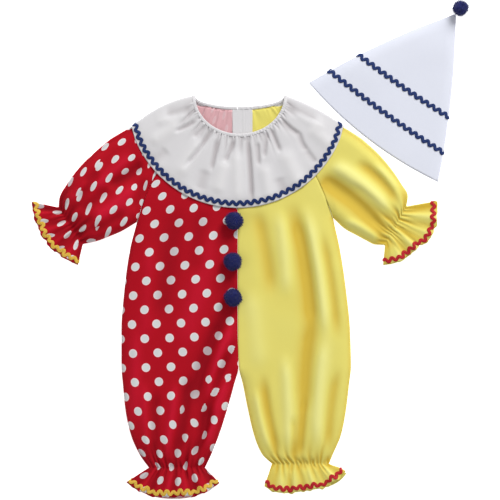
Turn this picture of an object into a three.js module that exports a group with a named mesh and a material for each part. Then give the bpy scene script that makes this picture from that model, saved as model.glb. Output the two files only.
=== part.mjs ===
// Child's clown costume laid flat: a two-colour ruffled romper with a round flounce collar,
// three pompoms and ric rac braid, and beside it a pointed hat with a pompom.
// Millimetres. +X to the wearer's left, +Y to the neck, +Z up from the surface that it lies on.
import * as THREE from 'three';

// ---- cloth and seams
const clothWall = 1;        // wall of every cloth piece
const seamGap = 0.3;        // free space between two sewn pieces
const braidWall = 0.9;      // ric rac
const layerRoom = 2 * clothWall + seamGap;   // least height of a front over its back
const crownReach = 17;      // how far in from a side edge the front reaches its full height
const bodyTop = 6.2;        // height of the smooth front cloth
const frillLift = braidWall + seamGap;       // the back of a frill lies on its braid
const yokeLift = 2.5;       // from the neck to the underarm the back lies on the back of the collar

// ---- neck opening: a deep half ellipse in front, a shallow one behind
const neck = { x: -15.4, y: 231, halfWidth: 66.5, frontDepth: 57, backDepth: 16 };
const bandWidth = 5;
const bandHalf = 1.3;
const bandFrontZ = 6.6;
const bandBackZ = 3.9;
const panelStart = bandWidth + 1.6;          // panels begin this far out from the neck edge
const centreSeam = -18.6;                    // centre front and centre back

// ---- round collar: its hem is an arc about the shoulder line
const collar = {
  x: -18.75, y: 228.75, radius: 165.75, leftAngle: 195.5, rightAngle: 345,
  topZ: 8, underZ: 1.2, pleat: 0.5, wave: 0.9, leftBulge: 8, rightBulge: 4, bulgeReach: 0.14,
};
const collarRows = [
  { out: 0, pleat: 1 }, { out: 0.22, pleat: 0.7 }, { out: 0.55, pleat: 0.3 },
  { out: 0.915, pleat: 0.1 }, { out: 0.965, pleat: 0.1 }, { out: 1, pleat: 0.1 },
];
const collarBraid = [3, 4];                  // the braid lies between these rows

// ---- raglan seams from the neck to the underarm, and the shoulder fold above each
const raglanAngle = { red: 135, yellow: 45 };
const raglan = {
  red: [
    { seamX: -82, seamY: 164, foldX: -110, foldY: 217, backRise: 14 },
    { seamX: -112, seamY: 143, foldX: -133, foldY: 208, backRise: 9 },
    { seamX: -138, seamY: 117, foldX: -157, foldY: 196, backRise: 5 },
    { seamX: -156, seamY: 82, foldX: -178, foldY: 182.5, backRise: 2 },
    { seamX: -169.5, seamY: 42, foldX: -207, foldY: 165, backRise: 0 },
  ],
  yellow: [
    { seamX: 61, seamY: 164, foldX: 77, foldY: 214.6, backRise: 14 },
    { seamX: 80, seamY: 139, foldX: 98, foldY: 203.8, backRise: 9 },
    { seamX: 97.5, seamY: 112.5, foldX: 119, foldY: 193, backRise: 5 },
    { seamX: 112, seamY: 81, foldX: 139.5, foldY: 182, backRise: 2 },
    { seamX: 124.5, seamY: 48, foldX: 164, foldY: 166, backRise: 0 },
  ],
};

// ---- body and leg sections below the underarm: outer edge, inner edge or centre seam
const bodySections = {
  red: [
    { y: 0, outer: -180, inner: centreSeam, split: 0, loft: 1, pleat: 0 },
    { y: -60, outer: -188.3, inner: centreSeam, split: 0, loft: 1, pleat: 0 },
    { y: -120, outer: -192.8, inner: centreSeam, split: 0, loft: 1, pleat: 0 },
    { y: -174, outer: -192.8, inner: -17.2, split: 0, loft: 1, pleat: 0 },
    { y: -202.5, outer: -190.5, inner: -24, split: 1, loft: 1, pleat: 0 },
    { y: -240, outer: -186.8, inner: -34.5, split: 1, loft: 1, pleat: 0 },
    { y: -277.5, outer: -178.5, inner: -46.5, split: 1, loft: 1.1, pleat: 0 },
    { y: -307.5, outer: -165, inner: -58.5, split: 1, loft: 1, pleat: 0.5 },
  ],
  yellow: [
    { y: 0, outer: 135, inner: centreSeam, split: 0, loft: 1, pleat: 0 },
    { y: -60, outer: 144, inner: centreSeam, split: 0, loft: 1, pleat: 0 },
    { y: -120, outer: 150, inner: centreSeam, split: 0, loft: 1, pleat: 0 },
    { y: -174, outer: 151.5, inner: -16.8, split: 0, loft: 1, pleat: 0 },
    { y: -202.5, outer: 148.5, inner: -10.5, split: 1, loft: 1, pleat: 0 },
    { y: -240, outer: 144, inner: -3, split: 1, loft: 1, pleat: 0 },
    { y: -277.5, outer: 136.5, inner: 6, split: 1, loft: 1.1, pleat: 0 },
    { y: -306, outer: 124.5, inner: 18, split: 1, loft: 1, pleat: 0.5 },
  ],
};

// ---- sleeve sections below the underarm: underarm seam edge and folded edge
const sleeveSections = {
  red: [
    { seamX: -195, seamY: 27, foldX: -237, foldY: 139.5, loft: 1.4, pleat: 0 },
    { seamX: -212, seamY: 20, foldX: -258, foldY: 117.5, loft: 1.5, pleat: 0 },
    { seamX: -226, seamY: 14.5, foldX: -274, foldY: 96, loft: 1.4, pleat: 0.3 },
    { seamX: -239, seamY: 11, foldX: -285, foldY: 77, loft: 1, pleat: 0.7 },
  ],
  yellow: [
    { seamX: 142.5, seamY: 31.5, foldX: 191, foldY: 142, loft: 1.4, pleat: 0 },
    { seamX: 159, seamY: 22.5, foldX: 210, foldY: 120, loft: 1.5, pleat: 0 },
    { seamX: 174, seamY: 14.5, foldX: 225.5, foldY: 97.5, loft: 1.4, pleat: 0.3 },
    { seamX: 189, seamY: 8, foldX: 236, foldY: 79, loft: 1, pleat: 0.7 },
  ],
};

// ---- frills: from the elastic line (gather) to the hem, whose middle stands out by `bow`
const frills = {
  ankleRed: {
    gatherA: [-67.5, -326.4], gatherB: [-151.5, -326.4],
    hemA: [-45.5, -349.2], hemB: [-185.6, -348], bow: 24.5, round: 2.3,
  },
  ankleYellow: {
    gatherA: [33, -320.4], gatherB: [118.5, -320.4],
    hemA: [21.5, -354], hemB: [144.8, -334.8], bow: 16.5, round: 4,
  },
  cuffRed: {
    gatherA: [-250.5, 9], gatherB: [-286.5, 63],
    hemA: [-258, -22.5], hemB: [-327, 72], bow: 16.2, round: 2.3,
  },
  cuffYellow: {
    gatherA: [202.5, 7.5], gatherB: [234, 64.5],
    hemA: [199.5, -22.5], hemB: [280.5, 73.5], bow: 22.5, round: 3,
  },
};
const frillRows = [
  { out: 0, loft: 0.3, pleat: 0.9, lift: 0 }, { out: 0.4, loft: 0.7, pleat: 0.8, lift: 1 },
  { out: 0.78, loft: 0.8, pleat: 0.4, lift: 1 }, { out: 0.9, loft: 0.8, pleat: 0.4, lift: 1 },
  { out: 1, loft: 0.8, pleat: 0.4, lift: 1 },
];

// ---- the largest folds of the upper layer: a soft ridge or trough from A to B
const foldTable = [
  // yellow body, from the collar down
  { ax: 12, ay: 50, bx: 30, by: -62, width: 9, rise: -1.6 },
  { ax: 45, ay: 45, bx: 52, by: -60, width: 9, rise: 1.6 },
  { ax: 64, ay: 55, bx: 91, by: -120, width: 11, rise: -2.4 },
  { ax: 84, ay: 52, bx: 112, by: -120, width: 9, rise: 2.2 },
  { ax: 112, ay: 15, bx: 130, by: -120, width: 8, rise: -1.4 },
  // yellow leg, running together into the elastic
  { ax: 51, ay: -172, bx: 57, by: -292, width: 9, rise: 1.8 },
  { ax: 84, ay: -150, bx: 76, by: -292, width: 10, rise: -2 },
  { ax: 110, ay: -150, bx: 94, by: -292, width: 9, rise: 2 },
  { ax: 18, ay: -195, bx: 40, by: -298, width: 8, rise: -1.6 },
  // red body and the inside of the red leg
  { ax: -112, ay: 37, bx: -135, by: -120, width: 14, rise: -1.3 },
  { ax: -37, ay: -102, bx: -80, by: -225, width: 9, rise: -2.2 },
  { ax: -25, ay: -112, bx: -64, by: -232, width: 7, rise: 2.2 },
  { ax: -24, ay: -148, bx: -70, by: -275, width: 7, rise: -2.2 },
  { ax: -30, ay: -195, bx: -66, by: -290, width: 7, rise: 1.6 },
  { ax: -90, ay: -202, bx: -110, by: -305, width: 9, rise: -1.6 },
  { ax: -110, ay: -195, bx: -128, by: -305, width: 9, rise: 1.5 },
  // red sleeve
  { ax: -160, ay: 128, bx: -215, by: 95, width: 9, rise: -2.2 },
  { ax: -180, ay: 138, bx: -238, by: 88, width: 10, rise: 1.8 },
  { ax: -172, ay: 88, bx: -236, by: 38, width: 12, rise: 2.2 },
  { ax: -190, ay: 48, bx: -238, by: 22, width: 8, rise: -1.4 },
  // yellow sleeve
  { ax: 104, ay: 108, bx: 200, by: 28, width: 13, rise: -2.4 },
  { ax: 122, ay: 126, bx: 206, by: 56, width: 12, rise: 2.8 },
  { ax: 165, ay: 127, bx: 218, by: 70, width: 8, rise: -1.5 },
  { ax: 142, ay: 40, bx: 190, by: 17, width: 7, rise: 1.3 },
];

// ---- hat: a cone pressed flat, brim to tip, both edges slightly full
const hat = {
  brimSeam: [282, 102], brimFold: [88.5, 250.5], tip: [309, 354], bulge: 6, tipCut: 0.972, loft: 1.1,
};
const hatRows = [
  { seam: 0, fold: 0, bow: 13, lift: 0 }, { seam: 0.09, fold: 0.07, bow: 7, lift: 0 },
  { seam: 0.148, fold: 0.12, bow: 3.6, lift: 1 }, { seam: 0.185, fold: 0.154, bow: 3, lift: 1 },
  { seam: 0.26, fold: 0.23, bow: 2.6, lift: 0 },
  { seam: 0.362, fold: 0.325, bow: 2.2, lift: 1 }, { seam: 0.4, fold: 0.36, bow: 2, lift: 1 },
  { seam: 0.5, fold: 0.47, bow: 1.5, lift: 0 }, { seam: 0.72, fold: 0.71, bow: 0.8, lift: 0 },
  { seam: 1, fold: 1, bow: 0, lift: 0 },
];
const hatBraids = { lower: [2, 3], upper: [5, 6] };

// ---- pompoms
const pompomRadius = 14.6;
const pompomHalfHeight = 12;
const pompoms = {
  pompom_top: { x: -24, y: 43.5 }, pompom_middle: { x: -25.5, y: -17.3 },
  pompom_bottom: { x: -25.5, y: -71.3 },
};
const hatPompom = { x: 315, y: 361.5, radius: 12 };

// ---- back opening
const placket = { x: -11.3, width: 30, length: 150, wall: 0.8, steps: 6 };

// ---- how finely each piece is divided
const columns = { front: 16, back: 6, sleeveFront: 10, sleeveBack: 6, turn: 4, collarFront: 22, collarBack: 10 };

const colours = {
  red: 0xc01226, yellow: 0xf2e97c, white: 0xf1f2f8, navy: 0x1c2460, gold: 0xf4c544, scarlet: 0xc9202a,
};
const group = new THREE.Group();

const radians = (degrees) => degrees * Math.PI / 180;
const mix = (a, b, t) => a + (b - a) * t;
const mix2 = (a, b, t) => [mix(a[0], b[0], t), mix(a[1], b[1], t)];
const clamp01 = (t) => Math.min(Math.max(t, 0), 1);
const smooth = (t) => clamp01(t) ** 2 * (3 - 2 * clamp01(t));

// A point `out` mm away from the neck edge, at an angle that runs right, front, left, back.
function neckPoint(degrees, out) {
  const angle = radians(degrees);
  const depth = Math.sin(angle) >= 0 ? neck.frontDepth : neck.backDepth;
  const x = neck.x + (neck.halfWidth + out) * Math.cos(angle);
  return [x, neck.y - (depth + out) * Math.abs(Math.sin(angle))];
}

// Where the centre seam meets the neck edge, in degrees.
const centreAngle = THREE.MathUtils.radToDeg(
  Math.acos((centreSeam - neck.x) / (neck.halfWidth + panelStart)));

function foldHeight(x, y) {
  let height = 0;
  for (const f of foldTable) {
    const length = Math.hypot(f.bx - f.ax, f.by - f.ay);
    const ux = (f.bx - f.ax) / length;
    const uy = (f.by - f.ay) / length;
    const along = ((x - f.ax) * ux + (y - f.ay) * uy) / length;
    const across = ((x - f.ax) * uy - (y - f.ay) * ux) / f.width;
    const fade = smooth(along / 0.25 + 0.2) * smooth((1 - along) / 0.25 + 0.2);
    height += f.rise * fade * Math.exp(-across * across);
  }
  return height;
}

const crown = (distance) => 1 - (1 - clamp01(distance / crownReach)) ** 2.2;

// Outer skin of the upper layer over a point of the back.
function topHeight(x, y, lift, loft, edge, pleat) {
  const floor = lift + layerRoom;
  const rise = (bodyTop - floor) * loft * edge + foldHeight(x, y) * edge * clamp01(loft);
  return Math.max(floor + rise + pleat, floor);
}

// ---- walls
function skinNormal(grid, i, j, side) {
  const above = grid[Math.max(i - 1, 0)][j];
  const below = grid[Math.min(i + 1, grid.length - 1)][j];
  const left = grid[i][Math.max(j - 1, 0)];
  const right = grid[i][Math.min(j + 1, grid[i].length - 1)];
  const down = below.clone().sub(above);
  return down.cross(right.clone().sub(left)).normalize().multiplyScalar(side);
}

// Closed wall: the outer skin, the same skin moved in by the thickness, and a rim round the edge.
function wall(grid, thickness, side) {
  const rows = grid.length;
  const cols = grid[0].length;
  const skins = [grid, grid.map((row, i) => row.map((point, j) =>
    point.clone().addScaledVector(skinNormal(grid, i, j, side), -thickness)))];
  const at = (skin, i, j) => (skin * rows + i) * cols + j;
  const faces = [];
  const quad = (a, b, c, d) => faces.push(...(side > 0 ? [a, b, c, a, c, d] : [a, c, b, a, d, c]));
  for (let i = 0; i < rows - 1; i += 1) {
    for (let j = 0; j < cols - 1; j += 1) {
      quad(at(0, i, j), at(0, i + 1, j), at(0, i + 1, j + 1), at(0, i, j + 1));
      quad(at(1, i, j), at(1, i, j + 1), at(1, i + 1, j + 1), at(1, i + 1, j));
    }
    quad(at(0, i, 0), at(1, i, 0), at(1, i + 1, 0), at(0, i + 1, 0));
    quad(at(0, i, cols - 1), at(0, i + 1, cols - 1), at(1, i + 1, cols - 1), at(1, i, cols - 1));
  }
  for (let j = 0; j < cols - 1; j += 1) {
    quad(at(0, 0, j), at(0, 0, j + 1), at(1, 0, j + 1), at(1, 0, j));
    quad(at(0, rows - 1, j), at(1, rows - 1, j), at(1, rows - 1, j + 1), at(0, rows - 1, j + 1));
  }
  const geometry = new THREE.BufferGeometry().setFromPoints(skins.flat(2));
  geometry.setIndex(faces);
  geometry.computeVertexNormals();
  return geometry;
}

// Braid on a skin: its strip between two rows, moved out; `corners` are columns that turn an edge.
function braidOn(grid, rows, side, corners = []) {
  const lifted = rows.map((i) => grid[i].map((point, j) => {
    const reach = (seamGap + braidWall) * (corners.includes(j) ? 1.6 : 1);
    const place = point.clone().addScaledVector(skinNormal(grid, i, j, side), reach);
    return place.setZ(Math.max(place.z, 0));
  }));
  return wall(lifted, braidWall, side);
}

function addPiece(name, geometry, color, roughness = 0.9) {
  const mesh = new THREE.Mesh(geometry, new THREE.MeshStandardMaterial({ color, roughness, metalness: 0 }));
  mesh.name = name;
  group.add(mesh);
}

// ---- plan of one section: a chord from A to B, its middle standing out towards the hem
function chordPoint(a, b, t, bow, round, outward) {
  const [x, y] = mix2(a, b, t);
  const length = Math.hypot(b[0] - a[0], b[1] - a[1]);
  const reach = bow * (1 - Math.abs(2 * t - 1) ** round) * outward / length;
  return [x + (b[1] - a[1]) * reach, y - (b[0] - a[0]) * reach];
}

// Sections of a frill, from the elastic line to the hem.
function frillSections(frill) {
  return frillRows.map((row) => ({
    a: mix2(frill.gatherA, frill.hemA, row.out), b: mix2(frill.gatherB, frill.hemB, row.out),
    bow: frill.bow * row.out, round: frill.round, loft: row.loft, pleat: row.pleat,
    lift: row.lift * frillLift, dropA: 1, dropB: 1,
  }));
}

// Sections of a body half, centre line or inner leg (a) to raglan seam or side (b).
function bodyRows(half, back) {
  const turn = back ? -1 : 1;
  const neckBows = { red: back ? 1.5 : 4.6, yellow: back ? 1.8 : 5.7 };
  const start = centreSeam + (half === 'red' ? -seamGap / 2 : seamGap / 2);
  const neckEnd = neckPoint(turn * raglanAngle[half], panelStart);
  const neckStart = [start, neckPoint(turn * centreAngle, panelStart)[1]];
  const away = half === 'red' ? 1 : -1;      // from the sleeve towards the body
  const seams = [{ seamX: neckEnd[0], seamY: neckEnd[1], backRise: 0 }, ...raglan[half]];
  const yoke = seams.map((seam, k) => {
    const t = k / (seams.length - 1);
    const lowest = seams[seams.length - 1].seamY;
    const rise = back ? seam.backRise : 0;
    return {
      a: [start, mix(neckStart[1], lowest, t)], b: [seam.seamX + away * seamGap / 2, seam.seamY + rise],
      bow: neckBows[half] * (1 - t) ** 2, round: 2, loft: 1, pleat: 0, lift: yokeLift,
      dropA: 0, dropB: k === seams.length - 1 ? 1 : 0,
    };
  });
  const body = bodySections[half].map((s) => ({
    a: [s.split ? s.inner : s.inner - away * seamGap / 2, s.y], b: [s.outer, s.y],
    bow: 0, round: 2, loft: s.loft, pleat: s.pleat, lift: 0, dropA: s.split, dropB: 1,
  }));
  const frill = frillSections(half === 'red' ? frills.ankleRed : frills.ankleYellow);
  return [...yoke, ...body, ...frill];
}

function sectionSkin(section, count, outward, back) {
  const { a, b } = section;
  const length = Math.hypot(b[0] - a[0], b[1] - a[1]);
  return Array.from({ length: count + 1 }, (_, j) => {
    const t = j / count;
    const [x, y] = chordPoint(a, b, t, section.bow, section.round, outward);
    if (back) return new THREE.Vector3(x, y, section.lift);
    const edge = (section.dropA ? crown(t * length) : 1) * (section.dropB ? crown((1 - t) * length) : 1);
    const pleat = j % count ? section.pleat * (j % 2 ? 1 : -1) : 0;
    return new THREE.Vector3(x, y, topHeight(x, y, section.lift, section.loft, edge, pleat));
  });
}

// ---- romper body: two fronts over two backs
function buildBodyHalf(half) {
  const outward = half === 'red' ? -1 : 1;
  const side = half === 'red' ? -1 : 1;
  const frontGrid = bodyRows(half, false).map((s) => sectionSkin(s, columns.front, outward, false));
  const backGrid = bodyRows(half, true).map((s) => sectionSkin(s, columns.back, outward, true));
  addPiece(`front_${half}`, wall(frontGrid, clothWall, side), colours[half]);
  addPiece(`back_${half}`, wall(backGrid, clothWall, -side), colours[half]);
  const round = frontGrid.map((row, i) => [...row, ...[...backGrid[i]].reverse()]);
  const braidRows = [frontGrid.length - 3, frontGrid.length - 2];
  const corners = [columns.front, columns.front + 1];
  const braid = braidOn(round, braidRows, side, corners);
  addPiece(`ricrac_ankle_${half}`, braid, half === 'red' ? colours.gold : colours.scarlet, 0.7);
}

// ---- a piece folded flat along one edge and seamed along the other
function foldedSkin(section, counts, outward) {
  const { a, b, backA } = section;
  const length = Math.hypot(b[0] - a[0], b[1] - a[1]);
  const radius = (layerRoom + 0.6) / 2;
  const inward = [(a[0] - b[0]) / length, (a[1] - b[1]) / length];
  const skin = [];
  for (let j = 0; j < counts.front; j += 1) {
    const t = j / counts.front * (1 - 2.5 / length);
    const [x, y] = chordPoint(a, b, t, section.bow, section.round, outward);
    const edge = (section.dropA ? crown(t * length) : 1) * crown((1 - t) * length);
    const pleat = j ? section.pleat * (j % 2 ? 1 : -1) : 0;
    const height = topHeight(x, y, section.lift, section.loft, edge, pleat);
    skin.push(new THREE.Vector3(x, y, height));
  }
  for (let k = 0; k <= counts.turn; k += 1) {
    const angle = Math.PI * k / counts.turn;
    const inset = radius * (1 - Math.sin(angle));
    const z = section.lift + radius * (1 + Math.cos(angle));
    skin.push(new THREE.Vector3(b[0] + inward[0] * inset, b[1] + inward[1] * inset, z));
  }
  for (let j = 1; j <= counts.back; j += 1) {
    const t = 1 - j / counts.back * (1 - 2.5 / length) - 2.5 / length;
    const [x, y] = chordPoint(backA, b, Math.max(t, 0), section.bow, section.round, outward);
    skin.push(new THREE.Vector3(x, y, section.lift));
  }
  return skin;
}

// ---- raglan sleeves
function buildSleeve(half) {
  const side = half === 'red' ? -1 : 1;
  const neckEnd = neckPoint(raglanAngle[half], panelStart);
  const backEnd = neckPoint(-raglanAngle[half], panelStart);
  const fold = neckPoint(half === 'red' ? 174 : 6, panelStart);
  const upper = raglan[half].map((s, k) => ({
    a: [s.seamX + side * seamGap / 2, s.seamY], backA: [s.seamX + side * seamGap / 2, s.seamY + s.backRise],
    b: [s.foldX, s.foldY], bow: [2, 1, 0, 0, 0][k], round: 2, loft: 1, pleat: 0, lift: yokeLift,
    dropA: k === raglan[half].length - 1 ? 1 : 0,
  }));
  const first = {
    a: [neckEnd[0] + side * seamGap / 2, neckEnd[1]], backA: [backEnd[0] + side * seamGap / 2, backEnd[1]],
    b: fold, bow: 4, round: 2, loft: 1, pleat: 0, lift: yokeLift, dropA: 0,
  };
  const lower = sleeveSections[half].map((s) => ({
    a: [s.seamX, s.seamY], backA: [s.seamX, s.seamY], b: [s.foldX, s.foldY],
    bow: 0, round: 2, loft: s.loft, pleat: s.pleat, lift: 0, dropA: 1,
  }));
  const frill = frillSections(half === 'red' ? frills.cuffRed : frills.cuffYellow)
    .map((s) => ({ ...s, backA: s.a }));
  const counts = { front: columns.sleeveFront, back: columns.sleeveBack, turn: columns.turn };
  const grid = [first, ...upper, ...lower, ...frill].map((s) => foldedSkin(s, counts, side));
  addPiece(`sleeve_${half}`, wall(grid, clothWall, side), colours[half]);
  const braid = braidOn(grid, [grid.length - 3, grid.length - 2], side);
  addPiece(`ricrac_cuff_${half}`, braid, half === 'red' ? colours.gold : colours.scarlet, 0.7);
}

// ---- collar: front half over the yoke, a turn at each shoulder, back half under it
function shoulderBulge(share, out) {
  const left = collar.leftBulge * (1 - smooth((1 - share) / collar.bulgeReach));
  const right = collar.rightBulge * (1 - smooth(share / collar.bulgeReach));
  return (left + right) * 4 * out * (1 - out);
}

function collarEdge(turnedRight, out) {
  const start = neckPoint(turnedRight ? 0 : 180, bandWidth + 1.8);
  const angle = radians(turnedRight ? collar.rightAngle : collar.leftAngle);
  const tip = [collar.x + collar.radius * Math.cos(angle), collar.y + collar.radius * Math.sin(angle)];
  const [x, y] = mix2(start, tip, out);
  return [x, y + shoulderBulge(turnedRight ? 0 : 1, out)];
}

function collarPoint(share, back, out) {
  const neckAngle = mix(0, 180, share);
  const hemAngle = radians(mix(collar.rightAngle, collar.leftAngle, share));
  const start = neckPoint(back ? -neckAngle : neckAngle, bandWidth + seamGap);
  const hem = [collar.x + collar.radius * Math.cos(hemAngle), collar.y + collar.radius * Math.sin(hemAngle)];
  const [x, y] = mix2(start, hem, out);
  return [x, y + shoulderBulge(share, out)];
}

function collarTurn(turnedRight, out) {
  const [x, y] = collarEdge(turnedRight, out);
  const [nx, ny] = collarPoint(turnedRight ? 0.3 : 0.7, false, out);
  const length = Math.hypot(nx - x, ny - y);
  const half = (collar.topZ - collar.underZ) / 2;
  return Array.from({ length: columns.turn + 1 }, (_, k) => {
    const angle = Math.PI * k / columns.turn;
    const inset = half * (1 - Math.sin(angle));
    const z = collar.underZ + half + half * (turnedRight ? -1 : 1) * Math.cos(angle);
    return new THREE.Vector3(x + (nx - x) / length * inset, y + (ny - y) / length * inset, z);
  });
}

function collarBackPoint(share, out) {
  const [x, y] = collarPoint(share, true, out);
  return new THREE.Vector3(x, y, collar.underZ);
}

function buildCollar() {
  const centreShare = centreAngle / 180;
  const grid = collarRows.map((row) => {
    const skin = [];
    const rightSteps = columns.collarBack / 2;
    for (let k = 0; k < rightSteps; k += 1) {
      const share = mix(centreShare - 0.004, 0.1, k / (rightSteps - 1));
      skin.push(collarBackPoint(share, row.out));
    }
    skin.push(...collarTurn(true, row.out));
    for (let k = 0; k <= columns.collarFront; k += 1) {
      const share = mix(0.07, 0.93, k / columns.collarFront);
      const [x, y] = collarPoint(share, false, row.out);
      const pleat = row.pleat * collar.pleat * (k % 2 ? 1 : -1);
      const wave = collar.wave * row.out * (1 + Math.sin(share * 23));
      const swell = Math.max(foldHeight(x, y), 0);
      skin.push(new THREE.Vector3(x, y, collar.topZ + pleat + wave + swell));
    }
    skin.push(...collarTurn(false, row.out));
    for (let k = 0; k < rightSteps; k += 1) {
      const share = mix(0.9, centreShare + 0.004, k / (rightSteps - 1));
      skin.push(collarBackPoint(share, row.out));
    }
    return skin;
  });
  addPiece('collar', wall(grid, clothWall, -1), colours.white);
  addPiece('ricrac_collar', braidOn(grid, collarBraid, -1), colours.navy, 0.7);
}

// ---- neck band: a flat ribbon that turns over at each shoulder
function buildNeckBand() {
  const steps = 44;
  const gapAngle = 0.6;
  const start = -centreAngle + gapAngle;
  const end = 360 - centreAngle - gapAngle;
  const turnSpan = 16;
  const loop = Array.from({ length: steps + 1 }, (_, k) => {
    const degrees = mix(start, end, k / steps);
    const fromRight = (degrees + turnSpan) / (2 * turnSpan);
    const fromLeft = (180 + turnSpan - degrees) / (2 * turnSpan);
    const roll = Math.PI * (1 - smooth(Math.min(fromRight, fromLeft)));
    const centre = mix(bandBackZ, bandFrontZ, (1 + Math.cos(roll)) / 2);
    const thick = new THREE.Vector3(0, Math.sin(roll), Math.cos(roll)).multiplyScalar(bandHalf);
    const edges = [neckPoint(degrees, 0), neckPoint(degrees, bandWidth)];
    const [inner, outer] = edges.map(([x, y]) => new THREE.Vector3(x, y, centre));
    return [
      inner.clone().add(thick), outer.clone().add(thick),
      outer.clone().sub(thick), inner.clone().sub(thick),
    ];
  });
  const faces = [];
  const quad = (a, b, c, d) => faces.push(a, b, c, a, c, d);
  for (let k = 0; k < steps; k += 1) {
    for (let s = 0; s < 4; s += 1) {
      const next = (s + 1) % 4;
      quad(4 * k + s, 4 * k + 4 + s, 4 * k + 4 + next, 4 * k + next);
    }
  }
  quad(0, 1, 2, 3);
  quad(4 * steps + 3, 4 * steps + 2, 4 * steps + 1, 4 * steps);
  const geometry = new THREE.BufferGeometry().setFromPoints(loop.flat());
  geometry.setIndex(faces);
  geometry.computeVertexNormals();
  addPiece('neck_band', geometry, colours.white);
}

// ---- placket inside the back opening
function buildPlacket() {
  const top = neckPoint(-90, panelStart)[1];
  const grid = Array.from({ length: placket.steps + 1 }, (_, i) => {
    const y = top - placket.length * i / placket.steps;
    return [-1, 0, 1].map((s) => {
      const x = placket.x + s * placket.width / 2;
      const z = yokeLift + clothWall + seamGap + placket.wall;
      return new THREE.Vector3(x, y, z);
    });
  });
  addPiece('back_placket', wall(grid, placket.wall, 1), colours.white);
}

// ---- hat: a cone folded flat
function hatEdge(brim, t, sign) {
  const along = t * hat.tipCut;
  const [x, y] = mix2(brim, hat.tip, along);
  const dx = hat.tip[0] - brim[0];
  const dy = hat.tip[1] - brim[1];
  const reach = sign * hat.bulge * 4 * along * (1 - along) / Math.hypot(dx, dy);
  return [x - dy * reach, y + dx * reach];
}

function buildHat() {
  const counts = { front: columns.sleeveFront, back: columns.sleeveBack, turn: columns.turn };
  const grid = hatRows.map((row) => {
    const a = hatEdge(hat.brimSeam, row.seam, -1);
    const b = hatEdge(hat.brimFold, row.fold, 1);
    const section = {
      a, b, backA: a, bow: row.bow, round: 2, loft: hat.loft, pleat: 0, lift: row.lift * frillLift, dropA: 1,
    };
    return foldedSkin(section, counts, -1);
  });
  addPiece('hat_cone', wall(grid, clothWall, 1), colours.white);
  for (const [name, rows] of Object.entries(hatBraids)) {
    addPiece(`ricrac_hat_${name}`, braidOn(grid, rows, 1), colours.navy, 0.7);
  }
}

// ---- pompoms: soft balls, the three on the front a little flattened
function addPompom(name, x, y, bottom, radius, halfHeight) {
  const ball = new THREE.IcosahedronGeometry(radius, 2);
  ball.scale(1, 1, halfHeight / radius);
  ball.translate(x, y, bottom + halfHeight);
  addPiece(name, ball, colours.navy, 1);
}

for (const half of ['red', 'yellow']) {
  buildBodyHalf(half);
  buildSleeve(half);
}
buildCollar();
buildNeckBand();
buildPlacket();
buildHat();
for (const [name, place] of Object.entries(pompoms)) {
  addPompom(name, place.x, place.y, bodyTop + 0.6, pompomRadius, pompomHalfHeight);
}
addPompom('hat_pompom', hatPompom.x, hatPompom.y, 0, hatPompom.radius, hatPompom.radius);

// the origin is under the middle of the whole set
const extent = new THREE.Box3().setFromObject(group);
const middle = extent.getCenter(new THREE.Vector3());
group.position.set(-middle.x, -middle.y, -extent.min.z);

export default group;
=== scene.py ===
# Clown costume laid flat: a red dotted and lemon yellow ruffled romper with a round flounce
# collar, navy pompoms and ric rac, and beside it a white pointed hat.
# Sizes are in millimetres in the garment's own plan, and become metres when a mesh is made.
import math

import bmesh
import bpy
import mathutils
import numpy as np
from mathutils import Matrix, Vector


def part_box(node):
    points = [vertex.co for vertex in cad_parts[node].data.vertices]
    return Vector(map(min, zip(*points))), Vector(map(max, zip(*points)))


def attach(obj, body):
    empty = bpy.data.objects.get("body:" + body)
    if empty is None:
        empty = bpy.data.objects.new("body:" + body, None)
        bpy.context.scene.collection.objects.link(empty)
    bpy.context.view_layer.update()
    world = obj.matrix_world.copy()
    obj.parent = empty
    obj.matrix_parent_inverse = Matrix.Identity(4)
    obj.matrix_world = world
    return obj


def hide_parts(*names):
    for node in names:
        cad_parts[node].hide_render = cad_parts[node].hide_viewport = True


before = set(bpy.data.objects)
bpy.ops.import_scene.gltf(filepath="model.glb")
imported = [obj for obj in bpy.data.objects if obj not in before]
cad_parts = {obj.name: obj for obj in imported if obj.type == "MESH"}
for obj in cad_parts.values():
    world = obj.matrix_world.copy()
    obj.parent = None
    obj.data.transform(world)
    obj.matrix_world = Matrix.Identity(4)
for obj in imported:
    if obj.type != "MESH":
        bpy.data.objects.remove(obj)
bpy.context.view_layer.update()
print("frame loaded,", len(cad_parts), "nodes")

mm = 0.001
hatPompomPlan = (315.0, 361.5)                     # where the hat's pompom is in the plan
pompomLow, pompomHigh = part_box("hat_pompom")
planShift = np.array([
    (pompomLow.x + pompomHigh.x) / 2 / mm - hatPompomPlan[0],
    (pompomLow.y + pompomHigh.y) / 2 / mm - hatPompomPlan[1],
    0.0,
])

cloth = {
    "thick": 0.5, "rowStep": 2.4, "seamZ": 1.1, "crownReach": 24,
    "yokeLift": 2.6, "frillLift": 1.3, "centreSeam": -18.6, "seamGap": 0.25,
}


def smoothStep(t):
    t = np.clip(t, 0, 1)
    return t * t * (3 - 2 * t)


def mixValues(a, b, t):
    return a + (b - a) * t


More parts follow.
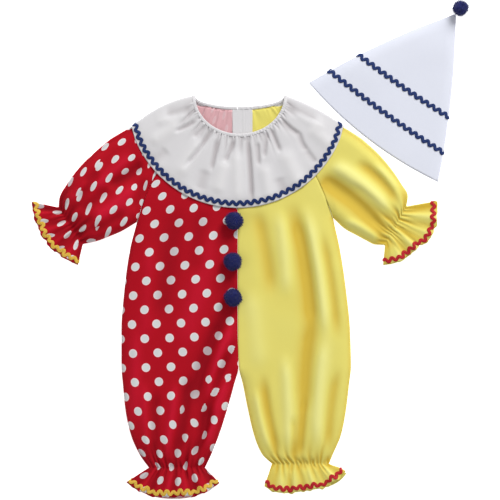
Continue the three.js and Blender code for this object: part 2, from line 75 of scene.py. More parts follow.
def curveThrough(keys, values, samples):
    # monotone cubic through a table's rows, so an outline never overshoots its rows
    keys, values = np.asarray(keys, float), np.asarray(values, float)
    steps = np.diff(keys)
    slopes = np.diff(values) / steps
    tangents = np.zeros_like(values)
    for k in range(1, len(keys) - 1):
        if slopes[k - 1] * slopes[k] > 0:
            wide, near = 2 * steps[k] + steps[k - 1], steps[k] + 2 * steps[k - 1]
            tangents[k] = (wide + near) / (wide / slopes[k - 1] + near / slopes[k])
    tangents[0], tangents[-1] = slopes[0], slopes[-1]
    at = np.clip(np.searchsorted(keys, samples) - 1, 0, len(keys) - 2)
    t = (samples - keys[at]) / steps[at]
    a, b = values[at], values[at + 1]
    ta, tb = tangents[at] * steps[at], tangents[at + 1] * steps[at]
    return (2 * t**3 - 3 * t**2 + 1) * a + (t**3 - 2 * t**2 + t) * ta \
        + (3 * t**2 - 2 * t**3) * b + (t**3 - t**2) * tb


def waveNoise(x, y, size, seed):
    # smooth unevenness from a few crossed waves, the same each run
    rng = np.random.default_rng(seed)
    total = np.zeros_like(x)
    for _ in range(6):
        angle, phase, stretch = rng.uniform(0, math.tau), rng.uniform(0, math.tau), rng.uniform(0.6, 1.7)
        total += np.sin((x * math.cos(angle) + y * math.sin(angle)) * math.tau / (size * stretch) + phase)
    return total / 6


def foldField(x, y, table):
    # soft ridges (+) and troughs (-) from A to B, bent sideways, one side steeper than the other
    height = np.zeros_like(x)
    for f in table:
        ax, ay, bx, by, bend, width, rise, lean = f
        length = math.hypot(bx - ax, by - ay)
        ux, uy = (bx - ax) / length, (by - ay) / length
        along = ((x - ax) * ux + (y - ay) * uy) / length
        across = (x - ax) * -uy + (y - ay) * ux - bend * 4 * along * (1 - along)
        wide = width * np.where(across * lean > 0, 1 - 0.45 * abs(lean), 1 + 0.45 * abs(lean))
        fade = smoothStep(along / 0.3 + 0.25) * smoothStep((1 - along) / 0.3 + 0.25)
        height += rise * fade * np.exp(-(across / wide) ** 2)
    return height


def tuckField(x, y, table):
    # cloth hidden in sharp tucks: a sideways jump of the print across each line from A to B
    shift = np.zeros_like(x)
    for ax, ay, bx, by, hidden in table:
        length = math.hypot(bx - ax, by - ay)
        ux, uy = (bx - ax) / length, (by - ay) / length
        along = ((x - ax) * ux + (y - ay) * uy) / length
        across = (x - ax) * -uy + (y - ay) * ux
        fade = smoothStep(along / 0.25 + 0.5) * smoothStep((1 - along) / 0.25 + 0.5)
        shift += hidden * fade * (smoothStep(across / 1.6 + 0.5) - smoothStep((across + 40) / 80))
    return shift


def underCollar(x, y):
    # 0 beneath the collar and 1 well outside its hem
    far = np.hypot(x - collar["x"], y - collar["y"])
    return smoothStep((far - collar["radius"] + 4) / 22)


def foldShadeOf(relief, edgeDistance, deep=3.6):
    # painted highlight and painted shade for the cloth's colour: ridges above 0 are painted lighter, hollows
    # and turned edges below 0 are painted darker
    return np.clip(relief / deep, -1, 1) * 0.85 - 0.5 * np.exp(-(edgeDistance / 4.5) ** 2)


def crownOf(distance, reach):
    inside = 1 - np.clip(distance / reach, 0, 1)
    return np.sqrt(np.clip(1 - inside ** 2, 0, 1)) * 0.55 + (1 - inside ** 2) * 0.45


def gatherPleats(share, away, count, seed, depth, reach):
    # fine pleats that run away from a line of gathers, each with its own place, depth and length
    rng = np.random.default_rng(seed)
    height = np.zeros(np.broadcast(share, away).shape)
    places = (np.arange(count) + rng.uniform(0.15, 0.85, count)) / count
    for place in places:
        wide = rng.uniform(0.22, 0.42) / count
        deep = depth * rng.uniform(0.45, 1.2)
        long = reach * rng.choice([0.35, 0.5, 0.8, 1.3])
        drift = rng.uniform(-0.5, 0.5) / count
        spread = 1 + 0.9 * np.clip(away / long, 0, 1)
        middle = place + drift * np.clip(away / long, 0, 1)
        height -= deep * np.exp(-((share - middle) / (wide * spread)) ** 2) * np.exp(-(away / long) ** 2)
    return height


def gridNormals(grid):
    down = np.gradient(grid, axis=0)
    across = np.gradient(grid, axis=1)
    normals = np.cross(down, across)
    return normals / np.maximum(np.linalg.norm(normals, axis=2, keepdims=True), 1e-9)


def newMesh(name, points, faces, uvs=None, materials=(), faceMaterials=None, foldShade=None):
    mesh = bpy.data.meshes.new(name)
    mesh.from_pydata((np.asarray(points) + planShift) * mm, [], faces)
    if uvs is not None:
        layer = mesh.uv_layers.new(name="cloth")
        corners = np.zeros(len(mesh.loops), np.int32)
        mesh.loops.foreach_get("vertex_index", corners)
        layer.data.foreach_set("uv", np.asarray(uvs, np.float32)[corners].ravel())
    # a per-point value of painted shade and highlight, read by the cloth materials
    if foldShade is not None:
        layer = mesh.attributes.new("foldShade", "FLOAT", "POINT")
        layer.data.foreach_set("value", np.asarray(foldShade, np.float32).ravel())
    for material in materials:
        mesh.materials.append(material)
    if faceMaterials is not None:
        mesh.polygons.foreach_set("material_index", np.asarray(faceMaterials, np.int32))
    mesh.polygons.foreach_set("use_smooth", np.ones(len(mesh.polygons), bool))
    mesh.validate()
    piece = bpy.data.objects.new(name, mesh)
    bpy.context.scene.collection.objects.link(piece)
    return piece


def clothShell(name, grid, side, uvs, outside, inside=None, thick=None, foldShade=None):
    # a thin closed shell: the outer skin, the same skin moved in, and a rim round its edge
    thick = cloth["thick"] if thick is None else thick
    rows, cols = grid.shape[:2]
    inner = grid - gridNormals(grid) * side * thick
    points = np.concatenate([grid.reshape(-1, 3), inner.reshape(-1, 3)])
    index = np.arange(rows * cols).reshape(rows, cols)
    quads = np.stack([index[:-1, :-1], index[1:, :-1], index[1:, 1:], index[:-1, 1:]], -1).reshape(-1, 4)
    if side < 0:
        quads = quads[:, ::-1]
    rim = np.concatenate([index[:, 0], index[-1, 1:], index[-2::-1, -1], index[0, -2:0:-1]])
    following = np.roll(rim, -1)
    count = rows * cols
    walls = np.stack([rim, rim + count, following + count, following], -1)
    if side < 0:
        walls = walls[:, ::-1]
    faces = np.concatenate([quads, quads[:, ::-1] + count, walls])
    which = np.concatenate([np.zeros(len(quads)), np.ones(len(quads)), np.zeros(len(walls))])
    materials = [outside, inside or outside]
    both = np.concatenate([uvs.reshape(-1, 2)] * 2)
    # no painted shade or highlight unless a value is given
    foldShade = np.zeros(grid.shape[:2]) if foldShade is None else foldShade
    return newMesh(name, points, faces.tolist(), both, materials, which, np.concatenate([foldShade.ravel()] * 2))


def arcAlong(grid, axis):
    steps = np.linalg.norm(np.diff(grid, axis=axis), axis=2)
    pad = np.zeros_like(np.take(steps, [0], axis=axis))
    return np.cumsum(np.concatenate([pad, steps], axis=axis), axis=axis)


def finishPiece(piece, slot, *nodes):
    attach(piece, "root")
    if nodes:
        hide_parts(*nodes)
    return piece


class Wire:
    # one socket of a node tree, with arithmetic that adds its own Math nodes
    def __init__(self, bench, socket):
        self.bench, self.socket = bench, socket

    def maths(self, operation, *others):
        return self.bench.node("ShaderNodeMath", {"operation": operation}, [self, *others])

    def __add__(self, other):
        return self.maths("ADD", other)

    def __mul__(self, other):
        return self.maths("MULTIPLY", other)

    def __sub__(self, other):
        return self.maths("SUBTRACT", other)

    def __truediv__(self, other):
        return self.maths("DIVIDE", other)

    def __rsub__(self, other):
        return self.bench.node("ShaderNodeMath", {"operation": "SUBTRACT"}, [other, self])

    __radd__ = __add__
    __rmul__ = __mul__


class Bench:
    # a node tree under construction
    def __init__(self, tree):
        self.tree = tree

    def node(self, kind, settings=None, inputs=(), output=0):
        made = self.tree.nodes.new(kind)
        for key, value in (settings or {}).items():
            setattr(made, key, value)
        pairs = inputs.items() if isinstance(inputs, dict) else enumerate(inputs)
        for key, value in pairs:
            if isinstance(value, Wire):
                self.tree.links.new(value.socket, made.inputs[key])
            else:
                made.inputs[key].default_value = value
        return Wire(self, made.outputs[output]) if len(made.outputs) else None


def newMaterial(name):
    material = bpy.data.materials.new(name)
    material.use_nodes = True
    material.node_tree.nodes.clear()
    return material, Bench(material.node_tree)


def mixColours(bench, share, first, second, blend="MIX"):
    return bench.node("ShaderNodeMix", {"data_type": "RGBA", "blend_type": blend},
                      {0: share, 6: first, 7: second}, output=2)


def closeMaterial(bench, surface):
    bench.node("ShaderNodeOutputMaterial", {}, {"Surface": surface})


def clothParts(bench, threads):
    # the cloth's own map in millimetres, split, and a plain weave height from its threads
    flat = bench.node("ShaderNodeUVMap", {"uv_map": "cloth"})
    split = bench.tree.nodes.new("ShaderNodeSeparateXYZ")
    bench.tree.links.new(flat.socket, split.inputs[0])
    u, v = Wire(bench, split.outputs[0]), Wire(bench, split.outputs[1])
    warp = (u * (math.tau / threads)).maths("SINE")
    weft = (v * (math.tau / threads)).maths("SINE")
    return flat, u, v, warp * weft


def roundDots(bench, u, v, dots):
    # staggered rows of round dots: two square grids, one set half a step across and up
    turn = math.radians(dots["tilt"])
    x = u * math.cos(turn) + v * math.sin(turn) + dots["phaseX"]
    y = v * math.cos(turn) - u * math.sin(turn) + dots["phaseY"]
    masks = []
    for half in (0, 0.5):
        cellX = ((x / dots["across"] + half).maths("FRACT") - 0.5) * dots["across"]
        cellY = ((y / dots["up"] + half).maths("FRACT") - 0.5) * dots["up"]
        far = (cellX * cellX + cellY * cellY).maths("SQRT")
        masks.append(far)
    nearest = masks[0].maths("MINIMUM", masks[1])
    edges = []
    for radius, soft in ((dots["radius"], 0.35), (dots["radius"] - 1.5, 0.7)):
        edges.append(bench.node("ShaderNodeMapRange", {"interpolation_type": "SMOOTHSTEP"},
                                {0: nearest, 1: radius + soft, 2: radius - soft, 3: 0.0, 4: 1.0}))
    return edges


def foldShadedColour(bench, foldShade, look):
    # painted shade in the hollows and painted highlight on the ridges, mixed into the colour to look like the
    # light on thin cloth
    paintedHighlight = mixColours(bench, foldShade.maths("MAXIMUM", 0.0), look["colour"], look["light"])
    return mixColours(bench, (foldShade * -1).maths("MAXIMUM", 0.0), paintedHighlight, look["deep"])


def cottonMaterial(name, look, dots=None, wrongSide=None):
    material, bench = newMaterial(name)
    flat, u, v, weave = clothParts(bench, look["threads"])
    slub = bench.node("ShaderNodeTexNoise", {}, {
        "Vector": flat, "Scale": 0.02, "Detail": 4.0, "Roughness": 0.6})
    fine = bench.node("ShaderNodeTexNoise", {}, {"Vector": flat, "Scale": 0.9, "Detail": 2.0})
    shade = slub * look["cloudy"] + (1 - look["cloudy"] / 2)
    # painted shade and highlight from the folds, stored on each point of the mesh
    foldShade = bench.node("ShaderNodeAttribute", {"attribute_name": "foldShade"}, (), output=2)
    base = foldShadedColour(bench, foldShade, look)
    if dots:
        mask, core = roundDots(bench, u, v, dots)
        printed = mixColours(bench, core, dots["rim"], dots["colour"])
        # painted shade on the dots as well, in the hollows and at turned edges
        shadedPrint = mixColours(bench, (foldShade * -1).maths("MAXIMUM", 0.0), printed, dots["deep"])
        base = mixColours(bench, mask, base, shadedPrint)
    if wrongSide:
        base = mixColours(bench, wrongSide["share"], base, wrongSide["colour"])
    grey = bench.node("ShaderNodeCombineColor", {}, [shade, shade, shade])
    colour = mixColours(bench, 1.0, base, grey, "MULTIPLY")
    bumpHeight = weave * look["weave"] + fine * look["grain"]
    bump = bench.node("ShaderNodeBump", {}, {"Strength": 1.0, "Distance": mm, "Height": bumpHeight})
    surface = bench.node("ShaderNodeBsdfPrincipled", {}, {
        "Base Color": colour, "Roughness": fine * 0.1 + (look["rough"] - 0.05), "Normal": bump,
        "Sheen Weight": look["sheen"], "Sheen Roughness": 0.5, "Specular IOR Level": 0.12,
    })
    closeMaterial(bench, surface)
    return material


def shadesOf(colour, darker, lighter):
    return ([c * darker for c in colour[:3]] + [1], [min(c * lighter, 1) for c in colour[:3]] + [1])


def plainFuzz(name, colour, rough, sheen, size):
    material, bench = newMaterial(name)
    place = bench.node("ShaderNodeTexCoord", {}, (), output=3)
    grain = bench.node("ShaderNodeTexNoise", {}, {"Vector": place, "Scale": size, "Detail": 3.0})
    colours = mixColours(bench, grain, *shadesOf(colour, 0.7, 1.3))
    bump = bench.node("ShaderNodeBump", {}, {"Strength": 0.5, "Distance": 0.3 * mm, "Height": grain})
    surface = bench.node("ShaderNodeBsdfPrincipled", {}, {
        "Base Color": colours, "Roughness": grain * 0.1 + (rough - 0.05), "Normal": bump,
        "Sheen Weight": sheen, "Sheen Roughness": 0.5, "Specular IOR Level": 0.2,
    })
    closeMaterial(bench, surface)
    return material


def braidMaterial(name, colour, pitch):
    # woven braid: fine diagonal threads along the strip, read from its own length and width
    material, bench = newMaterial(name)
    place = bench.node("ShaderNodeTexCoord", {}, (), output=3)
    threads = bench.node("ShaderNodeTexWave", {"wave_type": "BANDS", "bands_direction": "DIAGONAL"},
                         {"Vector": place, "Scale": pitch, "Distortion": 1.5, "Detail": 1.0}, output=1)
    colours = mixColours(bench, threads, *shadesOf(colour, 0.72, 1.2))
    bump = bench.node("ShaderNodeBump", {}, {"Strength": 0.6, "Distance": 0.2 * mm, "Height": threads})
    surface = bench.node("ShaderNodeBsdfPrincipled", {}, {
        "Base Color": colours, "Roughness": threads * 0.1 + 0.6, "Normal": bump,
        "Sheen Weight": 0.15, "Sheen Roughness": 0.4, "Specular IOR Level": 0.3,
    })
    closeMaterial(bench, surface)
    return material


# light and deep are lit and shaded copies of each colour: painted highlight on ridges, painted shade in
# hollows and at turned edges
looks = {
    "red": {"colour": (0.50, 0.003, 0.014, 1), "light": (0.68, 0.008, 0.035, 1),
            "deep": (0.30, 0.001, 0.008, 1),
            "threads": 0.62, "cloudy": 0.12, "weave": 0.02, "grain": 0.03, "rough": 0.72, "sheen": 0.0},
    "yellow": {"colour": (0.90, 0.80, 0.19, 1), "light": (0.99, 0.95, 0.34, 1), "deep": (0.74, 0.50, 0.05, 1),
               "threads": 0.62, "cloudy": 0.05, "weave": 0.02, "grain": 0.03, "rough": 0.7, "sheen": 0.0},
    "white": {"colour": (0.80, 0.785, 0.80, 1), "light": (0.90, 0.885, 0.89, 1),
              "deep": (0.52, 0.48, 0.49, 1),
              "threads": 0.62, "cloudy": 0.03, "weave": 0.02, "grain": 0.03, "rough": 0.75, "sheen": 0.03},
    "hat": {"colour": (0.85, 0.875, 0.98, 1), "light": (0.90, 0.92, 0.99, 1), "deep": (0.70, 0.72, 0.80, 1),
            "threads": 0.5, "cloudy": 0.03, "weave": 0.012, "grain": 0.02, "rough": 0.6, "sheen": 0.0},
}
# deep is the dots' painted shade, used in the hollows and at turned edges
dots = {"across": 37.85, "up": 43.34, "radius": 6.5, "tilt": 2.63, "phaseX": 25.2, "phaseY": 27.4,
        "colour": (0.76, 0.79, 0.79, 1), "rim": (0.93, 0.80, 0.82, 1), "deep": (0.50, 0.38, 0.40, 1)}
redDotCotton = cottonMaterial("redDotCotton", looks["red"], dots)
redWrongSide = cottonMaterial("redDotWrongSide", looks["red"], dots,
                              {"share": 0.88, "colour": (0.84, 0.53, 0.56, 1)})
yellowCotton = cottonMaterial("yellowCotton", looks["yellow"])
whiteCotton = cottonMaterial("whiteCotton", looks["white"])
hatCloth = cottonMaterial("hatCloth", looks["hat"])
navyBraid = braidMaterial("navyBraid", (0.012, 0.035, 0.16, 1), 500)
goldBraid = braidMaterial("goldBraid", (0.93, 0.55, 0.07, 1), 500)
scarletBraid = braidMaterial("scarletBraid", (0.56, 0.012, 0.02, 1), 500)
navyWool = plainFuzz("navyWool", (0.012, 0.018, 0.15, 1), 0.9, 0.3, 900)
print("materials made")


neck = {"x": -15.4, "y": 231, "halfWidth": 66.5, "frontDepth": 57, "backDepth": 16, "band": 5}
neckTurn = {"red": 135, "yellow": 45}               # where each raglan seam meets the neck edge

# raglan seam from the neck to the underarm and the shoulder fold above it
raglan = {
    "red": [
        # seamX, seamY, foldX, foldY, backRise
        (-82, 164, -110, 217, 14), (-112, 143, -133, 208, 9), (-138, 117, -157, 196, 5),
        (-156, 82, -178, 182.5, 2), (-169.5, 42, -207, 165, 0),
    ],
    "yellow": [
        (61, 164, 77, 214.6, 14), (80, 139, 98, 203.8, 9), (97.5, 112.5, 119, 193, 5),
        (112, 81, 139.5, 182, 2), (124.5, 48, 164, 166, 0),
    ],
}
bodySections = {
    "red": [
        # y, outer edge, inner edge or centre seam, split into legs, height, cloth width
        (0, -180, -18.6, 0, 7.5, 166), (-60, -188.3, -18.6, 0, 7.5, 176), (-120, -192.8, -18.6, 0, 7.8, 182),
        (-174, -192.8, -17.2, 0, 8, 184), (-202.5, -190.5, -24, 1, 8.4, 184),
        (-240, -186.8, -34.5, 1, 8.8, 180),
        (-277.5, -178.5, -46.5, 1, 9.2, 170), (-307.5, -165, -58.5, 1, 7.6, 158),
    ],
    "yellow": [
        (0, 135, -18.6, 0, 7.5, 166), (-60, 144, -18.6, 0, 7.5, 176), (-120, 150, -18.6, 0, 7.8, 182),
        (-174, 151.5, -16.8, 0, 8, 184), (-202.5, 148.5, -10.5, 1, 8.4, 184), (-240, 144, -3, 1, 8.8, 180),
        (-277.5, 136.5, 6, 1, 9.2, 170), (-306, 124.5, 18, 1, 7.6, 158),
    ],
}
sleeveSections = {
    "red": [
        # seamX, seamY, foldX, foldY, height
        (-195, 27, -237, 139.5, 12), (-212, 20, -258, 117.5, 13),
        (-226, 14.5, -274, 96, 12), (-239, 11, -285, 77, 8.5),
    ],
    "yellow": [
        (142.5, 31.5, 191, 142, 12), (159, 22.5, 210, 120, 13),
        (174, 14.5, 225.5, 97.5, 12), (189, 8, 236, 79, 8.5),
    ],
}
frills = {
    "ankleRed": {"gather": ((-67.5, -326.4), (-151.5, -326.4)), "hem": ((-45.5, -349.2), (-185.6, -348)),
                 "bow": 24.5, "round": 2.3, "cloth": 158},
    "ankleYellow": {"gather": ((33, -320.4), (118.5, -320.4)), "hem": ((21.5, -354), (144.8, -334.8)),
                    "bow": 16.5, "round": 4, "cloth": 158},
    "cuffRed": {"gather": ((-250.5, 9), (-286.5, 63)), "hem": ((-258, -22.5), (-327, 72)),
                "bow": 16.2, "round": 2.3, "cloth": 122},
    "cuffYellow": {"gather": ((202.5, 7.5), (234, 64.5)), "hem": ((199.5, -22.5), (280.5, 73.5)),
                   "bow": 22.5, "round": 3, "cloth": 122},
}


def neckPoint(degrees, out):
    angle = np.radians(degrees)
    depth = np.where(np.sin(angle) >= 0, neck["frontDepth"], neck["backDepth"])
    return (neck["x"] + (neck["halfWidth"] + out) * np.cos(angle),
            neck["y"] - (depth + out) * np.abs(np.sin(angle)))


def centreAngle(out):
    return math.degrees(math.acos((cloth["centreSeam"] - neck["x"]) / (neck["halfWidth"] + out)))


fields = ("ax", "ay", "bx", "by", "bow", "round", "lift", "height", "width", "dropA", "dropB")


def sectionRow(a, b, bow=0, roundness=2, lift=0, height=7.5, width=0, dropA=0, dropB=1):
    return [a[0], a[1], b[0], b[1], bow, roundness, lift, height, width, dropA, dropB]


def frillRows(frill, high):
    shares = ((0, high[0]), (0.35, high[1]), (0.7, high[2]), (1, high[3]))
    rows = []
    for out, height in shares:
        a = [mixValues(frill["gather"][0][k], frill["hem"][0][k], out) for k in (0, 1)]
        b = [mixValues(frill["gather"][1][k], frill["hem"][1][k], out) for k in (0, 1)]
        rows.append(sectionRow(a, b, frill["bow"] * out, frill["round"], cloth["frillLift"] * min(out * 2, 1),
                               height, frill["cloth"], 1, 1))
    return rows


def sampleSections(segments, step):
    # rows of each segment at even steps along its middle, as named columns
    parts, starts, total = [], [], 0
    for rows in segments:
        rows = np.array(rows, float)
        middles = np.stack([
            (rows[:, 0] + rows[:, 2]) / 2, (rows[:, 1] + rows[:, 3]) / 2 - rows[:, 4] * 0.6], 1)
        keys = np.concatenate([[0], np.cumsum(np.linalg.norm(np.diff(middles, axis=0), axis=1))])
        count = max(int(keys[-1] / step), 3)
        samples = np.linspace(0, keys[-1], count + 1)
        if parts:
            samples = samples[1:]
        parts.append(np.stack([curveThrough(keys, rows[:, k], samples) for k in range(len(fields))], 1))
        starts.append(total)
        total += len(samples)
    table = np.concatenate(parts)
    starts.append(total)
    return {name: table[:, k][:, None] for k, name in enumerate(fields)}, starts


def planOf(rows, share, outward):
    x = mixValues(rows["ax"], rows["bx"], share)
    y = mixValues(rows["ay"], rows["by"], share)
    length = np.hypot(rows["bx"] - rows["ax"], rows["by"] - rows["ay"])
    reach = rows["bow"] * (1 - np.abs(2 * share - 1) ** rows["round"]) * outward / length
    return x + (rows["by"] - rows["ay"]) * reach, y - (rows["bx"] - rows["ax"]) * reach, length


bodyFolds = {
    "red": [
        # ax, ay, bx, by, bend, width, rise, lean
        (-112, 60, -140, -110, 4, 17, -1.6, 0.3), (-70, 58, -82, -40, -3, 13, -1.3, 0.2),
        (-60, 30, -104, -150, 5, 16, 1.4, 0), (-150, 10, -160, -140, 2, 12, 1.2, -0.3),
        (-36, -96, -84, -232, -6, 10, -3.0, 0.6), (-25, -108, -66, -240, -5, 8, 3.0, -0.4),
        (-24, -140, -72, -282, -6, 7.5, -3.2, 0.7), (-30, -190, -66, -300, -4, 6.5, 2.4, -0.4),
        (-52, -240, -84, -312, 0, 5.5, -2.4, 0.5), (-92, -190, -112, -312, 3, 9, -2.2, 0.4),
        (-112, -200, -128, -314, 2, 8, 2.0, -0.3), (-140, -210, -140, -312, -3, 9, -1.8, 0.4),
        (-158, -200, -149, -306, -3, 7, 1.6, 0), (-172, -120, -176, -262, 2, 9, 1.4, 0),
    ],
    "yellow": [
        (10, 60, 32, -66, 3, 11, -1.9, 0.2), (44, 58, 55, -66, 2, 10, 2.0, 0),
        (64, 64, 93, -130, 6, 12, -3.2, 0.4), (84, 60, 113, -130, 4, 9, 2.8, -0.3),
        (108, 22, 131, -130, 3, 8, -1.9, 0.3), (-2, -60, 14, -180, 2, 14, 1.3, 0),
        (92, -110, 82, -240, -3, 12, -2.6, 0.2), (52, -160, 58, -300, 2, 9, 2.4, 0),
        (82, -220, 74, -312, 0, 7, -2.6, 0.4), (113, -130, 100, -296, -4, 10, 2.6, -0.3),
        (20, -190, 42, -306, -3, 8, -2.4, 0.4), (8, -210, 30, -300, -3, 6, 1.8, 0),
        (132, -180, 118, -300, -4, 8, -1.9, 0.3), (64, -250, 66, -314, 0, 5, -1.6, 0),
    ],
}
bodyLooks = {
    "red": {"out": redDotCotton, "in": redWrongSide, "slot": "red_dot_cotton", "pleatSeed": 11,
            "frill": "ankleRed"},
    "yellow": {"out": yellowCotton, "in": yellowCotton, "slot": "yellow_cotton", "pleatSeed": 23,
               "frill": "ankleYellow"},
}
grids = {}


def bodySegments(half, back):
    turn = -1 if back else 1
    away = 1 if half == "red" else -1
    start = cloth["centreSeam"] - away * cloth["seamGap"] / 2
    out = neck["band"] + 0.5
    neckStart = (start, float(neckPoint(turn * centreAngle(out), out)[1]))
    neckEnd = [float(v) for v in neckPoint(turn * neckTurn[half], out)]
    bows = {"red": 1.5 if back else 4.6, "yellow": 1.8 if back else 5.7}
    seams = [(neckEnd[0], neckEnd[1], 0, 0, 0)] + raglan[half]
    lowest = seams[-1][1]
    yoke = []
    for k, seam in enumerate(seams):
        t = k / (len(seams) - 1)
        rise = seam[4] if back else 0
        yoke.append(sectionRow((start, mixValues(neckStart[1], lowest, t)),
                               (seam[0] + away * cloth["seamGap"] / 2, seam[1] + rise),
                               bows[half] * (1 - t) ** 2, 2, cloth["yokeLift"] * (1 - t ** 3), 6.3 + 0.7 * t,
                               150 + 10 * t, 0, 1 if t == 1 else 0))
    body = [yoke[-1]]
    for y, outer, inner, split, height, width in bodySections[half]:
        edge = inner if split else inner - away * cloth["seamGap"] / 2
        body.append(sectionRow((edge, y), (outer, y), 0, 2, 0, height, width, split, 1))
    frill = frills[bodyLooks[half]["frill"]]
    frillPart = frillRows(frill, (4.2, 6.4, 7, 6.6))
    body.append(frillPart[0])
    return [yoke, body, frillPart]


def buildBodyFront(half):
    look = bodyLooks[half]
    rows, starts = sampleSections(bodySegments(half, False), cloth["rowStep"])
    share = np.linspace(0, 1, 109)[None, :]
    outward = -1 if half == "red" else 1
    x, y, length = planOf(rows, share, outward)
    crownA = mixValues(1, crownOf(share * length, cloth["crownReach"]), rows["dropA"])
    crownB = mixValues(1, crownOf((1 - share) * length, cloth["crownReach"]), rows["dropB"])
    edge = crownA * crownB
    floor = rows["lift"] + cloth["seamZ"]
    folds = foldField(x, y, bodyFolds[half]) * 1.5 * underCollar(x, y) \
        + 0.35 * waveNoise(x, y, 70, look["pleatSeed"])
    hemDistance = np.hypot(np.gradient(rows["ay"][:, 0]), np.gradient(rows["ax"][:, 0])).cumsum()[:, None]
    gatherRow = starts[2] - 1
    above = np.clip(hemDistance[gatherRow] - hemDistance, 0, None)
    below = np.clip(hemDistance - hemDistance[gatherRow], 0, None)
    pleats = np.where(above > 0, gatherPleats(share, above, 17, look["pleatSeed"], 3.4, 26),
                      gatherPleats(share, below, 17, look["pleatSeed"], 3.4, 17))
    flutes = hemFlutes(share, below, 30, look["pleatSeed"] + 5)
    pinch = np.exp(-((hemDistance - hemDistance[gatherRow]) / 2.2) ** 2)
    fromCentre = share * length
    seamDip = 0.8 * np.exp(-(fromCentre / 2.0) ** 2) * (1 - rows["dropA"])
    raglanDip = 0.8 * np.exp(-((1 - share) * length / 2.0) ** 2) * (1 - rows["dropB"])
    z = floor + (rows["height"] - floor) * edge + (folds + pleats + flutes) * edge - seamDip - raglanDip
    z = z - pinch * 0.8 * edge
    least = floor + 0.35 * edge
    z = np.where(z < least, least - 0.25 * (1 - np.exp((z - least) / 1.5)), z)
    grid = np.stack([x, y, np.maximum(z, floor - 0.2)], 2)
    grid = frillHem(grid, share, below / below.max(), look["frill"])
    uvs = clothMap(grid, rows, -1, starts[1] - 1)
    if half == "red":
        uvs = uvs * [-1, 1]
        uvs[:, :, 0] += tuckField(x, y, bodyTucks)
    side = -1 if half == "red" else 1
    grids["front_" + half] = (grid, side, starts)
    openEdges = np.minimum((1 - share) * length + 40 * (1 - rows["dropB"]),
                           share * length + 40 * (1 - rows["dropA"]))
    # painted shade and highlight from the folds, pleats and flutes, and painted shade near open edges
    foldShade = foldShadeOf(folds + pleats * 1.2 + flutes * 1.5, openEdges)
    piece = clothShell("front_" + half + "_cloth", grid, side, uvs, look["out"], look["in"], foldShade=foldShade)
    finishPiece(piece, look["slot"], "front_" + half)
    return piece


bodyTucks = [
    # ax, ay, bx, by, hidden cloth
    (-19, -140, -73, -240, 9), (-24, -180, -50, -216, 6), (-100, -232, -106, -250, 6),
    (-136, -272, -135, -296, 6),
    (-66, -262, -78, -300, 6), (-96, -280, -100, -310, 5), (-58, -180, -66, -214, 5),
]


def hemFlutes(share, below, depth, seed):
    # the frill stands in soft flutes that grow towards its hem
    rng = np.random.default_rng(seed)
    places = (np.arange(9) + rng.uniform(0.2, 0.8, 9)) / 9
    height = np.zeros(np.broadcast(share, below).shape)
    for k, place in enumerate(places):
        wide = rng.uniform(0.028, 0.05)
        height += (1.9 if k % 2 else -1.7) * rng.uniform(0.6, 1.1) * np.exp(-((share - place) / wide) ** 2)
    return height * smoothStep(below / depth + 0.2) * (below > 0)


frillTucks = {
    # share across, how far the hem steps out, how far one side lies over the other
    "ankleRed": (0.31, -3.4, 1.8), "ankleYellow": (0.80, -4.0, 1.6),
    "cuffRed": (0.30, 2.2, 1.2), "cuffYellow": (0.47, 5.5, 2.4),
}


def frillHem(grid, share, out, key):
    # a slightly wavy hem with one place where the frill laps over itself
    frill = frills[key]
    place, step, lap = frillTucks[key]
    rng = np.random.default_rng(len(key) * 7)
    phase = rng.uniform(0, math.tau, 3)
    wave = 0.9 * np.sin(share * 31 + phase[0]) + 0.7 * np.sin(share * 53 + phase[1]) \
        + 0.5 * np.sin(share * 83 + phase[2])
    ends = smoothStep(np.minimum(share, 1 - share) / 0.08)
    jump = smoothStep((share - place) / 0.014 + 0.5) - smoothStep((share - place - 0.16) / 0.3)
    move = (wave * ends + step * jump) * smoothStep(out * 1.3) * (out > 0)
    middleA = np.array(frill["gather"]).mean(0)
    middleB = np.array(frill["hem"]).mean(0)
    toward = (middleB - middleA) / np.linalg.norm(middleB - middleA)
    moved = grid.copy()
    columns = move.shape[1]
    moved[:, :columns, 0] += move * toward[0]
    moved[:, :columns, 1] += move * toward[1]
    moved[:, :columns, 2] += lap * (smoothStep((share - place) / 0.014 + 0.5)
                                    - smoothStep((share - place) / 0.12)) * smoothStep(out * 1.3)
    return moved


def clothMap(grid, rows, anchorColumn, referenceRow):
    # map in millimetres of cloth: across by length over the folds, scaled to the cut's width
    across = arcAlong(grid, 1)
    total = across[:, -1:]
    width = np.maximum(rows["width"], total)
    u = across / total * width
    if anchorColumn == -1:
        u = u - width
    down = arcAlong(grid, 0)
    v = -(down - down[referenceRow:referenceRow + 1]) + grid[referenceRow:referenceRow + 1, :, 1]
    return np.stack([u, v], 2)


def buildBodyBack(half):
    look = bodyLooks[half]
    rows, starts = sampleSections(bodySegments(half, True), 4)
    share = np.linspace(0, 1, 57)[None, :]
    outward = -1 if half == "red" else 1
    x, y, length = planOf(rows, share, outward)
    distance = np.arange(len(rows["ax"]))[:, None] * 4.0
    gatherRow = starts[2] - 1
    away = np.abs(distance - distance[gatherRow])
    pleats = -gatherPleats(share, away, 15, look["pleatSeed"] + 3, 0.6, 16)
    neckPleats = -gatherPleats(share, distance, 9, look["pleatSeed"] + 7, 1.5, 34)
    z = rows["lift"] + 0.15 + pleats + neckPleats
    grid = np.stack([x, y, np.broadcast_to(z, x.shape)], 2)
    uvs = clothMap(grid, rows, -1, starts[1] - 1)
    if half == "yellow":
        uvs = uvs * [-1, 1]
    side = 1 if half == "red" else -1
    grids["back_" + half] = (grid, side, starts)
    piece = clothShell("back_" + half + "_cloth", grid, side, uvs, look["out"], look["in"])
    finishPiece(piece, look["slot"], "back_" + half)
    return piece


